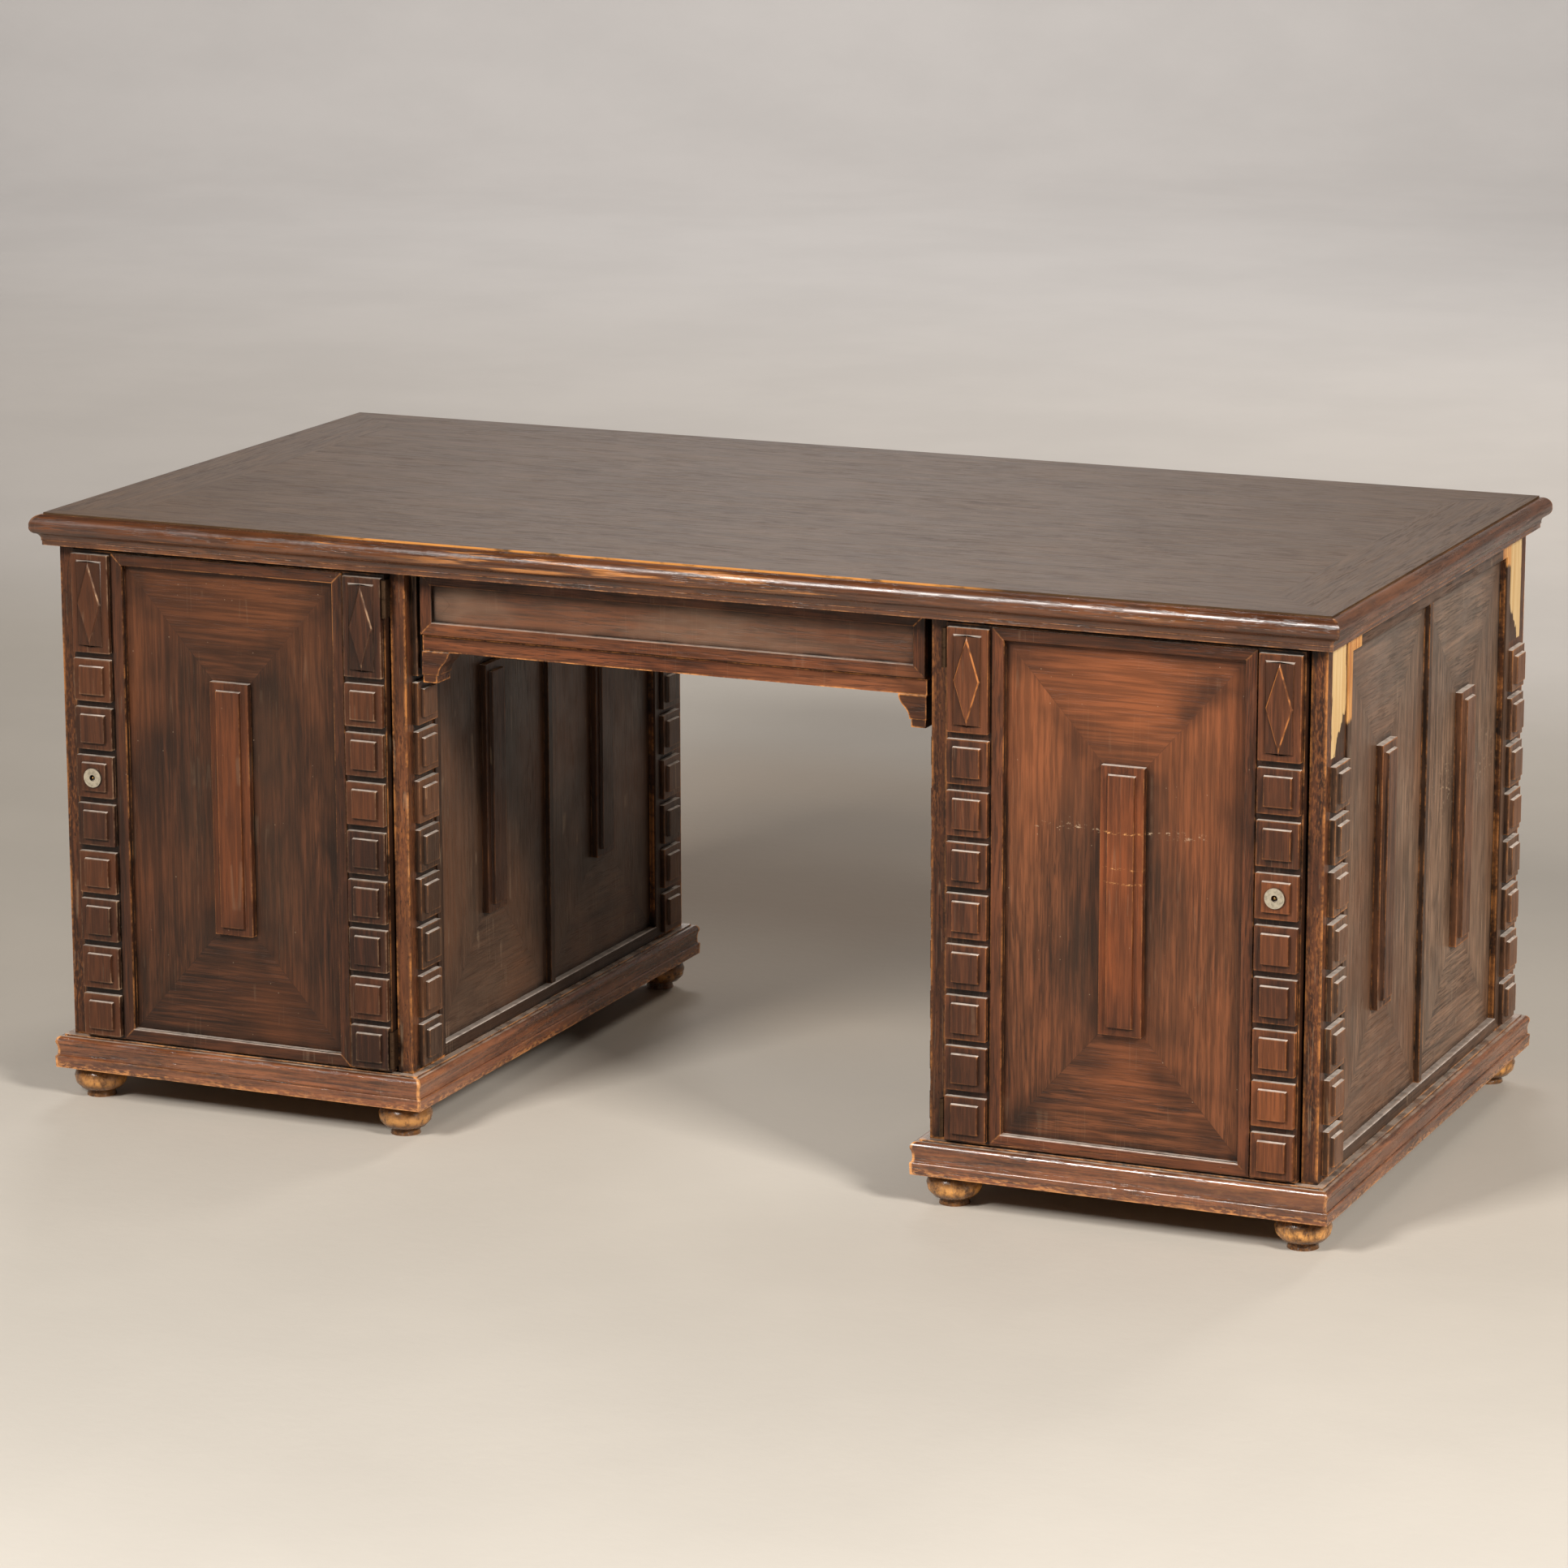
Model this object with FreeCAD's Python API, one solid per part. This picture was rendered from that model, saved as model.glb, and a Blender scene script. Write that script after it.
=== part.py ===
"""Partners desk: two panelled pedestals with bossed doors, a moulded top and a frieze drawer to each side.

All sizes are millimetres. +X runs along the desk to the right, +Y to the back and +Z up. The origin is on the
floor, under the middle of the top.
"""
import FreeCAD, Part
import math
import os
from FreeCAD import Placement, Rotation, Vector

# Whole desk
desk_height = 780.0
kneehole_width = 711.0
pedestal_width = 496.0
pedestal_depth = 822.0

# Top board and its veneer
top_overhang_side = 10.5
top_overhang_front = 20.5
board_thickness = 22.0
veneer_thickness = 1.2
border_width = 100.0

# Edge moulding of the top, from the board's edge outwards and downwards
board_step = 2.5
nose_root = 3.0
nose_out = 14.0
nose_upper = 14.0
nose_lower = 10.0
nose_return = 9.0
quirk = 1.0
cove_height = 9.5
cove_foot = 3.0
edge_fillet_out = 2.0
edge_fillet_height = 6.0
board_seat = 30.0

# Bearers and pegs between the top and the pedestals
bearer_width = 70.0
bearer_offset = 250.0
bearer_end_gap = 1.0
peg_width = 14.0
peg_length = 34.0
peg_clearance = 0.2
peg_spread = 150.0

# Bun feet and the blocks above them
foot_height = 42.5
foot_inset = 23.5
belly_radius = 35.0
belly_cuts = 5
neck_radius = 25.0
pad_radius = 19.5
pad_height = 8.0
waist_radius = 17.5
foot_block_size = 92.0

# Plinth moulding, from the carcass face outwards and from the feet upwards
fascia_height = 16.0
fascia_out = 19.7
fascia_lean = 0.7
fascia_shoulder = 2.2
hollow_height = 14.5
hollow_depth = 0.7
bead_height = 10.5
bead_out = 19.2
bead_low_root = 18.0
bead_swell = 0.4
bead_root = 15.0
plinth_fillet_height = 2.5
plinth_fillet_out = 10.0

# Pedestal carcass
side_thickness = 20.0
bottom_thickness = 22.0
crown_thickness = 22.0
crown_setback = 0.5
partition_thickness = 16.0
muntin_width = 12.0
shelf_level = 400.0
shelf_thickness = 18.0
shelf_front_setback = 46.0
cleat_width = 12.0
cleat_height = 18.0

# Panelled faces, alike on doors and sides
corner_margin = 18.0
strip_gap = 3.0
strip_width = 15.0
strip_proud = 2.5
rail_margin = 1.0
panel_recess = 7.5
panel_thickness = 8.0
groove_depth = 4.0
tablet_width = 55.0
tablet_height = 331.0
tablet_base = 9.0
tablet_field = 4.5
tablet_margin = 10.0
arris = 0.9

# Boss columns
boss_width = 53.0
boss_count = 8
boss_gap = 8.5
boss_base = 7.5
boss_field = 4.5
boss_margin = 8.5
lozenge_height = 128.0
lozenge_field = 2.2
rhombus_inset = 0.5
rhombus_bevel = 1.5
column_margin = 4.0

# Doors
door_thickness = 22.0
door_proud = 10.0
door_gap = 3.0
door_gap_low = 2.5
door_gap_top = 5.0
door_edge_margin = 2.5

# Lift-off hinges
hinge_height = 48.0
hinge_inset = 30.0
hinge_standoff = 4.0
knuckle_radius = 3.5
knuckle_gap = 0.4
leaf_width = 24.0
leaf_play = 0.6
pin_radius = 1.5
pin_clearance = 0.05

# Locks
lock_row = 3
case_length = 58.0
case_height = 44.0
case_depth = 14.0
case_setback = 1.0
bolt_length = 34.0
bolt_height = 16.0
bolt_thickness = 7.0
bolt_throw = 9.0
bolt_clearance = 0.4
mortise_spare = 2.0
escutcheon_radius = 12.5
escutcheon_thickness = 2.5
keyhole_radius = 4.0
key_passage = 8.0

# Frieze drawers
apron_setback = 13.0
drawer_side_play = 2.5
drawer_top_gap = 3.0
drawer_front_height = 79.0
drawer_front_thickness = 14.0
drawer_strip_width = 16.0
drawer_strip_depth = 6.0
drawer_back_room = 19.0
drawer_wall = 12.0
drawer_wall_height = 62.0
drawer_bottom_thickness = 6.0
drawer_bottom_lift = 8.0
drawer_hang_play = 4.0
drawer_run_play = 0.3

# Apron rails, brackets and the drawer housing behind them
apron_gap = 2.0
apron_height = 20.0
apron_thickness = 18.0
apron_step = 7.0
bracket_width = 37.0
bracket_foot_width = 20.0
bracket_step = 2.0
bracket_bulge = 1.6
bracket_height = 40.0
bracket_foot_height = 10.0
bracket_foot_setback = 1.0
bracket_proud = 2.5
bracket_depth = 36.5
hanger_thickness = 18.0
runner_width = 18.0
runner_height = 12.0
runner_lift = 4.3
divider_thickness = 18.0

# Levels worked out from the driving sizes
plinth_height = fascia_height + hollow_height + bead_height + plinth_fillet_height
edge_height = board_step + nose_upper + nose_lower + cove_height + edge_fillet_height
carcass_low = foot_height + plinth_height
carcass_top = desk_height - edge_height
carcass_height = carcass_top - carcass_low
board_low = desk_height - board_thickness
crown_low = carcass_top - crown_thickness
bottom_low = carcass_low - bottom_thickness

# Places worked out from the driving sizes
half_kneehole = kneehole_width / 2
pedestal_x = half_kneehole + pedestal_width / 2
half_inside = pedestal_width / 2 - side_thickness
half_depth = pedestal_depth / 2
top_half_x = half_kneehole + pedestal_width + top_overhang_side
top_half_y = half_depth + top_overhang_front

# Door and panel places, shared by doors and sides
door_half = half_inside - door_gap
door_low = carcass_low + door_gap_low
door_top = carcass_top - door_gap_top
door_back = door_proud - door_thickness
rail_sight = rail_margin + strip_width
sight_low = door_low + rail_sight
sight_top = door_top - rail_sight
sight_mid = (sight_low + sight_top) / 2
half_sight_height = (sight_top - sight_low) / 2
door_sight = door_half - door_edge_margin - boss_width - strip_gap - strip_width
side_sight = half_depth - corner_margin - boss_width - strip_gap - strip_width
door_column = door_half - door_edge_margin - boss_width / 2
side_column = half_depth - corner_margin - boss_width / 2
column_low = door_low + column_margin
column_top = door_top - column_margin
boss_pitch = (column_top - lozenge_height - column_low) / boss_count
boss_height = boss_pitch - boss_gap
boss_thickness = boss_base + boss_field
lock_level = column_low + boss_pitch * (boss_count - lock_row) + boss_height / 2

# Drawer places
drawer_half = half_kneehole - boss_thickness - drawer_side_play
drawer_face = half_depth - apron_setback
drawer_top = carcass_top - drawer_top_gap
drawer_low = drawer_top - drawer_front_height
drawer_front_back = drawer_face - drawer_strip_depth - drawer_front_thickness
apron_top = drawer_low - apron_gap
apron_low = apron_top - apron_height
apron_face = drawer_face - apron_step
hanger_end = apron_face - apron_thickness
hanger_inner = drawer_half - hanger_thickness
runner_top = drawer_low + runner_lift


def box(x0, x1, y0, y1, z0, z1):
    """A block between two values on each axis."""
    low = Vector(min(x0, x1), min(y0, y1), min(z0, z1))
    return Part.makeBox(abs(x1 - x0), abs(y1 - y0), abs(z1 - z0), low)


def prism(points, depth):
    """A closed outline extruded along a vector."""
    outline = Part.makePolygon(points + points[:1])
    return Part.Face(outline).extrude(depth)


def rectangle(width, height, level):
    """A centred rectangle at a level."""
    x = width / 2
    y = height / 2
    corners = [Vector(-x, -y, level), Vector(x, -y, level), Vector(x, y, level), Vector(-x, y, level)]
    return Part.makePolygon(corners + corners[:1])


def rhombus(width, height, level):
    """A centred rhombus at a level."""
    x = width / 2
    y = height / 2
    corners = [Vector(0, -y, level), Vector(x, 0, level), Vector(0, y, level), Vector(-x, 0, level)]
    return Part.makePolygon(corners + corners[:1])


def line(start, end):
    """A straight edge."""
    return Part.LineSegment(start, end).toShape()


def quarter(start, end, centre):
    """An arc standing for a quarter ellipse about a centre."""
    middle = centre + (start - centre + end - centre) * math.sqrt(0.5)
    return Part.Arc(start, middle, end).toShape()


def arc(start, middle, end):
    """A round edge through three points."""
    return Part.Arc(start, middle, end).toShape()


def on_face(shape, azimuth, x, y):
    """Sets a piece made flat, with its outer side up, on an upright face that looks along the azimuth."""
    stand = Placement(Vector(), Rotation(Vector(1, 0, 0), 90))
    turn = Placement(Vector(x, y, 0), Rotation(Vector(0, 0, 1), azimuth))
    return shape.transformed((turn * stand).toMatrix(), True)


def mitred_length(section, half_run, half_across):
    """One length of moulding along X on the -Y side of a rectangle, cut at 45 degrees at both ends."""
    bounds = section.BoundBox
    out = -bounds.YMin + 1
    inward = bounds.YMax + 1
    start = Vector(-half_run - out, -half_across, 0)
    bar = section.translated(start).extrude(Vector(2 * (half_run + out), 0, 0))
    plan = [
        Vector(-half_run - out, -half_across - out, bounds.ZMin - 1),
        Vector(half_run + out, -half_across - out, bounds.ZMin - 1),
        Vector(half_run - inward, -half_across + inward, bounds.ZMin - 1),
        Vector(-half_run + inward, -half_across + inward, bounds.ZMin - 1),
    ]
    return bar.common(prism(plan, Vector(0, 0, bounds.ZLength + 2))).Solids[0]


def mitred_ring(section, half_x, half_y, centre=Vector()):
    """Four mitred lengths round a rectangle, from a section drawn in the YZ plane with outwards as -Y."""
    front = mitred_length(section, half_x, half_y)
    side = mitred_length(section, half_y, half_x)
    lengths = []
    for turn, piece in ((0, front), (90, side), (180, front), (270, side)):
        lengths.append(piece.rotated(Vector(), Vector(0, 0, 1), turn).translated(centre))
    return lengths


def flat_section(width, low, high):
    """The section of a flat strip with its two upper arrises taken off."""
    points = [
        Vector(0, 0, low),
        Vector(0, -width, low),
        Vector(0, -width, high - arris),
        Vector(0, -width + arris, high),
        Vector(0, -arris, high),
        Vector(0, 0, high - arris),
    ]
    return Part.Face(Part.makePolygon(points + points[:1]))


def stepped_block(width, height, base, margin, field):
    """An applied block with a raised field, whose sides lean in by an arris."""
    block = Part.makeBox(width, height, base, Vector(-width / 2, -height / 2, 0))
    foot = rectangle(width - 2 * margin, height - 2 * margin, base)
    head = rectangle(width - 2 * (margin + arris), height - 2 * (margin + arris), base + field)
    return block.fuse(Part.makeLoft([foot, head], True, True)).removeSplitter().Solids[0]


def lozenge_plate():
    """The tall plate at the head of a column, with a rhombus on its field."""
    plate = stepped_block(boss_width, lozenge_height, boss_base, boss_margin, lozenge_field)
    width = boss_width - 2 * (boss_margin + arris + rhombus_inset)
    height = lozenge_height - 2 * (boss_margin + arris + rhombus_inset)
    level = boss_base + lozenge_field
    slope = height / width
    foot = rhombus(width, height, level)
    head = rhombus(width - 2 * rhombus_bevel, height - 2 * rhombus_bevel * slope, boss_thickness)
    return plate.fuse(Part.makeLoft([foot, head], True, True)).removeSplitter().Solids[0]


def boss_levels():
    """The middle heights of the square bosses in a column, from the lowest up."""
    return [column_low + boss_pitch * row + boss_height / 2 for row in range(boss_count)]


def boss_column(across, ground):
    """The square bosses of one column, on a ground plane of a flat face."""
    boss = stepped_block(boss_width, boss_height, boss_base, boss_margin, boss_field)
    return [boss.translated(Vector(across, level, ground)) for level in boss_levels()]


def column_head(across, ground):
    """The lozenge plate over one column."""
    return lozenge_plate().translated(Vector(across, column_top - lozenge_height / 2, ground))


def tablet(across, ground):
    """The tall raised tablet in the middle of a panel."""
    block = stepped_block(tablet_width, tablet_height, tablet_base, tablet_margin, tablet_field)
    return block.translated(Vector(across, sight_mid, ground))


def quartered_panel(across, half_width, ground):
    """Four leaves that fill a sight opening and its groove, mitred from its corners to the tablet's."""
    x = half_width + groove_depth
    y = half_sight_height + groove_depth
    slope = (y - tablet_height / 2) / (x - tablet_width / 2)
    ridge = y - x * slope
    lower = [Vector(-x, -y, 0), Vector(x, -y, 0), Vector(0, -ridge, 0)]
    right = [Vector(x, -y, 0), Vector(x, y, 0), Vector(0, ridge, 0), Vector(0, -ridge, 0)]
    leaves = []
    for outline in (lower, right):
        leaf = prism(outline, Vector(0, 0, panel_thickness))
        leaves += [leaf, leaf.rotated(Vector(), Vector(0, 0, 1), 180)]
    place = Vector(across, sight_mid, ground - panel_recess - panel_thickness)
    return [leaf.translated(place) for leaf in leaves]


def panel_space(across, half_width, ground):
    """The block that a quartered panel fills, which is cut from the frame round it."""
    x = half_width + groove_depth
    top = ground - panel_recess
    low = sight_low - groove_depth
    high = sight_top + groove_depth
    return box(across - x, across + x, low, high, top - panel_thickness, top)


def edge_at(out, drop):
    """A point of the top's edge moulding: outwards from the board and down from the top."""
    return Vector(0, -out, desk_height - drop)


def top_edge_section():
    """The section of the edge moulding: a nosing over a cove and a fillet, with a seat for the board."""
    nose_top = board_step
    nose_mid = nose_top + nose_upper
    nose_low = nose_mid + nose_lower
    cove_low = nose_low + cove_height
    cove_root = nose_return - quirk
    edges = [
        line(edge_at(0, nose_top), edge_at(nose_root, nose_top)),
        quarter(edge_at(nose_root, nose_top), edge_at(nose_out, nose_mid), edge_at(nose_root, nose_mid)),
        quarter(edge_at(nose_out, nose_mid), edge_at(nose_return, nose_low), edge_at(nose_return, nose_mid)),
        line(edge_at(nose_return, nose_low), edge_at(cove_root, nose_low)),
        quarter(edge_at(cove_root, nose_low), edge_at(cove_foot, cove_low), edge_at(cove_root, cove_low)),
        line(edge_at(cove_foot, cove_low), edge_at(edge_fillet_out, cove_low)),
        line(edge_at(edge_fillet_out, cove_low), edge_at(edge_fillet_out, edge_height)),
        line(edge_at(edge_fillet_out, edge_height), edge_at(-board_seat, edge_height)),
        line(edge_at(-board_seat, edge_height), edge_at(-board_seat, board_thickness)),
        line(edge_at(-board_seat, board_thickness), edge_at(0, board_thickness)),
        line(edge_at(0, board_thickness), edge_at(0, nose_top)),
    ]
    return Part.Face(Part.Wire(edges))


def plinth_at(out, rise):
    """A point of the plinth moulding: outwards from the carcass and up from the feet."""
    return Vector(0, -out, foot_height + rise)


def plinth_section():
    """The section of the plinth moulding: round-shouldered fascia, shallow hollow, bead and fillet."""
    shoulder_out = fascia_out - fascia_shoulder
    shoulder_low = fascia_height - fascia_shoulder
    bead_low = fascia_height + hollow_height
    fillet_low = bead_low + bead_height
    hollow_mid = fascia_height + hollow_height / 2
    bead_mid = bead_low + bead_height * bead_swell
    edges = [
        line(plinth_at(0, 0), plinth_at(fascia_out - fascia_lean, 0)),
        line(plinth_at(fascia_out - fascia_lean, 0), plinth_at(fascia_out, shoulder_low)),
        quarter(
            plinth_at(fascia_out, shoulder_low),
            plinth_at(shoulder_out, fascia_height),
            plinth_at(shoulder_out, shoulder_low),
        ),
        arc(
            plinth_at(shoulder_out, fascia_height),
            plinth_at(shoulder_out - hollow_depth, hollow_mid),
            plinth_at(bead_low_root, bead_low),
        ),
        arc(
            plinth_at(bead_low_root, bead_low),
            plinth_at(bead_out, bead_mid),
            plinth_at(bead_root, fillet_low),
        ),
        line(plinth_at(bead_root, fillet_low), plinth_at(plinth_fillet_out, fillet_low)),
        line(plinth_at(plinth_fillet_out, fillet_low), plinth_at(plinth_fillet_out, plinth_height)),
        line(plinth_at(plinth_fillet_out, plinth_height), plinth_at(0, plinth_height)),
        line(plinth_at(0, plinth_height), plinth_at(0, 0)),
    ]
    return Part.Face(Part.Wire(edges))


def pedestal_sides():
    """Azimuth, X of the face and whether its lozenge plates are there, for the four panelled sides."""
    outer = half_kneehole + pedestal_width
    return [
        (90, outer, False),
        (-90, half_kneehole, True),
        (90, -half_kneehole, True),
        (-90, -outer, True),
    ]


def cupboards():
    """Pedestal sign, face sign, azimuth and hinge side, by name, for the four cupboards."""
    return {
        "front_left": (-1, -1, 0, 1),
        "front_right": (1, -1, 0, -1),
        "back_left": (-1, 1, 180, -1),
        "back_right": (1, 1, 180, 1),
    }


def foot_places():
    """The axes of the bun feet."""
    across = pedestal_width / 2 - foot_inset
    along = half_depth - foot_inset
    places = []
    for pedestal in (-pedestal_x, pedestal_x):
        for x in (pedestal - across, pedestal + across):
            for y in (-along, along):
                places.append((x, y))
    return places


def peg_places():
    """The axes of the square pegs that keep the top on the pedestals."""
    places = []
    for pedestal in (-pedestal_x, pedestal_x):
        for x in (pedestal - peg_spread, pedestal + peg_spread):
            for y in (-bearer_offset, bearer_offset):
                places.append((x, y))
    return places


def peg(place, width):
    """A square peg, half in the crown board and half in the bearer."""
    x, y = place
    low = peg_high() - peg_length
    return box(x - width / 2, x + width / 2, y - width / 2, y + width / 2, low, peg_high())


def peg_high():
    """The upper end of the pegs, within the bearers."""
    return min(carcass_top + peg_length / 2, board_low)


def with_peg_holes(board):
    """Cuts the holes for the pegs that pass through a piece."""
    for place in peg_places():
        board = board.cut(peg(place, peg_width + 2 * peg_clearance))
    return board.Solids[0]


def top_core():
    """The board under the veneer."""
    return [box(-top_half_x, top_half_x, -top_half_y, top_half_y, board_low, desk_height - veneer_thickness)]


def top_veneer():
    """The field leaf and the four mitred border leaves."""
    x = top_half_x - border_width
    y = top_half_y - border_width
    low = desk_height - veneer_thickness
    points = [
        Vector(0, 0, low),
        Vector(0, -border_width, low),
        Vector(0, -border_width, desk_height),
        Vector(0, 0, desk_height),
    ]
    section = Part.Face(Part.makePolygon(points + points[:1]))
    return [box(-x, x, -y, y, low, desk_height)] + mitred_ring(section, x, y)


def top_moulding():
    """The mitred edge of the top."""
    return mitred_ring(top_edge_section(), top_half_x, top_half_y)


def top_bearers():
    """The two long bearers that carry the board between the lengths of moulding."""
    x = top_half_x - board_seat - bearer_end_gap
    bearers = []
    for y in (-bearer_offset, bearer_offset):
        bar = box(-x, x, y - bearer_width / 2, y + bearer_width / 2, carcass_top, board_low)
        bearers.append(with_peg_holes(bar))
    return bearers


def locating_pegs():
    """The pegs between the crown boards and the bearers."""
    return [peg(place, peg_width) for place in peg_places()]


def crown_boards():
    """The board at the head of each pedestal, which the doors close against."""
    front = half_depth + door_back - crown_setback
    boards = []
    for pedestal in (-pedestal_x, pedestal_x):
        board = box(pedestal - half_inside, pedestal + half_inside, -front, front, crown_low, carcass_top)
        boards.append(with_peg_holes(board))
    return boards


def bottom_boards():
    """The floor of each pedestal, inside the plinth moulding."""
    half = pedestal_width / 2
    boards = []
    for pedestal in (-pedestal_x, pedestal_x):
        boards.append(box(pedestal - half, pedestal + half, -half_depth, half_depth, bottom_low, carcass_low))
    return boards


def partitions():
    """The upright board between the front and the back cupboard of each pedestal."""
    y = partition_thickness / 2
    boards = []
    for pedestal in (-pedestal_x, pedestal_x):
        boards.append(box(pedestal - half_inside, pedestal + half_inside, -y, y, carcass_low, crown_low))
    return boards


def shelf_span():
    """How far a shelf reaches from the middle of the desk, from its back edge to its front edge."""
    return partition_thickness / 2, half_depth - shelf_front_setback


def shelves():
    """One shelf in each cupboard."""
    back, front = shelf_span()
    boards = []
    for pedestal_sign, face, _, _ in cupboards().values():
        x = pedestal_sign * pedestal_x
        high = shelf_level + shelf_thickness
        boards.append(box(x - half_inside, x + half_inside, face * back, face * front, shelf_level, high))
    return boards


def shelf_cleats():
    """The cleats on the sides of the cupboards, under the shelves."""
    back, front = shelf_span()
    cleats = []
    for pedestal_sign, face, _, _ in cupboards().values():
        for side in (-1, 1):
            outer = pedestal_sign * pedestal_x + side * half_inside
            inner = outer - side * cleat_width
            low = shelf_level - cleat_height
            cleats.append(box(outer, inner, face * back, face * front, low, shelf_level))
    return cleats


def plinth_mouldings():
    """The mitred plinth moulding round the foot of each pedestal."""
    section = plinth_section()
    lengths = []
    for pedestal in (-pedestal_x, pedestal_x):
        lengths += mitred_ring(section, pedestal_width / 2, half_depth, Vector(pedestal, 0, 0))
    return lengths


def foot_blocks():
    """The corner blocks under the bottom boards, which the feet are fixed to."""
    blocks = []
    for x, y in foot_places():
        pedestal = math.copysign(pedestal_x, x)
        corner_x = pedestal + math.copysign(pedestal_width / 2, x - pedestal)
        corner_y = math.copysign(half_depth, y)
        inner_x = corner_x - math.copysign(foot_block_size, x - pedestal)
        inner_y = corner_y - math.copysign(foot_block_size, y)
        blocks.append(box(corner_x, inner_x, corner_y, inner_y, foot_height, bottom_low))
    return blocks


def bun_foot():
    """One turned foot standing at the origin, its belly turned in short straight cuts."""
    waist = Vector(waist_radius, 0, pad_height)
    swell = Vector(belly_radius, 0, (pad_height + foot_height) / 2)
    neck = Vector(neck_radius, 0, foot_height)
    belly = arc(waist, swell, neck).discretize(belly_cuts + 1)
    profile = [Vector(), Vector(pad_radius, 0, 0)] + belly + [Vector(0, 0, foot_height)]
    outline = Part.makePolygon(profile + profile[:1])
    return Part.Face(outline).revolve(Vector(), Vector(0, 0, 1), 360)


def bun_feet():
    """Four turned feet under each pedestal."""
    foot = bun_foot()
    return [foot.translated(Vector(x, y, 0)) for x, y in foot_places()]


def side_openings():
    """The middle and half width of the two panels in a side."""
    half = (side_sight - muntin_width / 2) / 2
    middle = muntin_width / 2 + half
    return [(-middle, half), (middle, half)]


def cut_grooves(piece):
    """Cuts the grooves of a side's two panels from one member of its frame."""
    for across, half in side_openings():
        piece = piece.cut(panel_space(across, half, 0))
    return piece.Solids[0]


def bolt_depth():
    """The middle of a lock bolt, outwards from the carcass face."""
    return door_back - case_depth / 2


def bolt_mortise():
    """The pocket for a thrown bolt, on the door side of a front stile laid flat."""
    thrown = door_half - case_setback + bolt_throw + mortise_spare
    depth = thrown - half_inside
    height = bolt_height / 2 + bolt_clearance
    thickness = bolt_thickness / 2 + bolt_clearance
    near = half_depth + bolt_depth()
    low = lock_level - height
    high = lock_level + height
    return box(near - thickness, near + thickness, low, high, -side_thickness, -side_thickness + depth)


def corner_stiles():
    """The upright members at the corners of the pedestals: outer ones have a mortise for the lock bolt."""
    stiles = []
    for azimuth, x, _ in pedestal_sides():
        bar = box(side_sight, half_depth, carcass_low, carcass_top, -side_thickness, 0)
        stile = cut_grooves(bar)
        if abs(x) > half_kneehole:
            stile = stile.cut(bolt_mortise()).Solids[0]
        twin = stile.mirror(Vector(), Vector(1, 0, 0))
        stiles += [on_face(piece, azimuth, x, 0) for piece in (stile, twin)]
    return stiles


def side_rails():
    """The lower and upper rails and the middle muntin of each side."""
    half = side_sight
    lower = cut_grooves(box(-half, half, carcass_low, sight_low, -side_thickness, 0))
    upper = cut_grooves(box(-half, half, sight_top, carcass_top, -side_thickness, 0))
    across = muntin_width / 2
    muntin = cut_grooves(box(-across, across, sight_low, sight_top, -side_thickness, 0))
    rails = []
    for azimuth, x, _ in pedestal_sides():
        rails += [on_face(piece, azimuth, x, 0) for piece in (lower, upper, muntin)]
    return rails


def side_panels():
    """The quartered panels of the pedestal sides."""
    leaves = []
    for azimuth, x, _ in pedestal_sides():
        for across, half in side_openings():
            leaves += [on_face(leaf, azimuth, x, 0) for leaf in quartered_panel(across, half, 0)]
    return leaves


def side_strips():
    """The mitred strips round the panelled field of each side."""
    section = flat_section(strip_width, 0, strip_proud)
    ring = mitred_ring(section, side_sight, half_sight_height, Vector(0, sight_mid, 0))
    strips = []
    for azimuth, x, _ in pedestal_sides():
        strips += [on_face(strip, azimuth, x, 0) for strip in ring]
    return strips


def side_tablets():
    """The raised tablets on the side panels."""
    tablets = []
    for azimuth, x, _ in pedestal_sides():
        for across, _ in side_openings():
            tablets.append(on_face(tablet(across, -panel_recess), azimuth, x, 0))
    return tablets


def side_bosses():
    """The square bosses on the corner stiles of the sides."""
    bosses = []
    for azimuth, x, _ in pedestal_sides():
        for across in (-side_column, side_column):
            bosses += [on_face(boss, azimuth, x, 0) for boss in boss_column(across, 0)]
    return bosses


def side_lozenges():
    """The lozenge plates that are left on the sides."""
    plates = []
    for azimuth, x, plated in pedestal_sides():
        if plated:
            for across in (-side_column, side_column):
                plates.append(on_face(column_head(across, 0), azimuth, x, 0))
    return plates


def door_place(name):
    """Azimuth, X and Y of the carcass face that a door hangs in."""
    pedestal_sign, face, azimuth, _ = cupboards()[name]
    return azimuth, pedestal_sign * pedestal_x, face * half_depth


def keyhole(lock_side):
    """The square passage for the key, through the boss and the stile of a door laid flat."""
    x = lock_side * door_column
    half = key_passage / 2
    front = door_proud + boss_thickness
    return box(x - half, x + half, lock_level - half, lock_level + half, door_back, front)


def door_frame(hinge_side):
    """The stiles and rails of a door laid flat."""
    pieces = []
    for side in (-1, 1):
        stile = box(side * door_sight, side * door_half, door_low, door_top, door_back, door_proud)
        if side != hinge_side:
            stile = stile.cut(keyhole(side))
        pieces.append(stile)
    pieces.append(box(-door_sight, door_sight, door_low, sight_low, door_back, door_proud))
    pieces.append(box(-door_sight, door_sight, sight_top, door_top, door_back, door_proud))
    space = panel_space(0, door_sight, door_proud)
    return [piece.cut(space).Solids[0] for piece in pieces]


def door_mouldings():
    """The mitred strips and the tablet of a door laid flat."""
    section = flat_section(strip_width, door_proud, door_proud + strip_proud)
    ring = mitred_ring(section, door_sight, half_sight_height, Vector(0, sight_mid, 0))
    return ring + [tablet(0, door_proud - panel_recess)]


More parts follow.
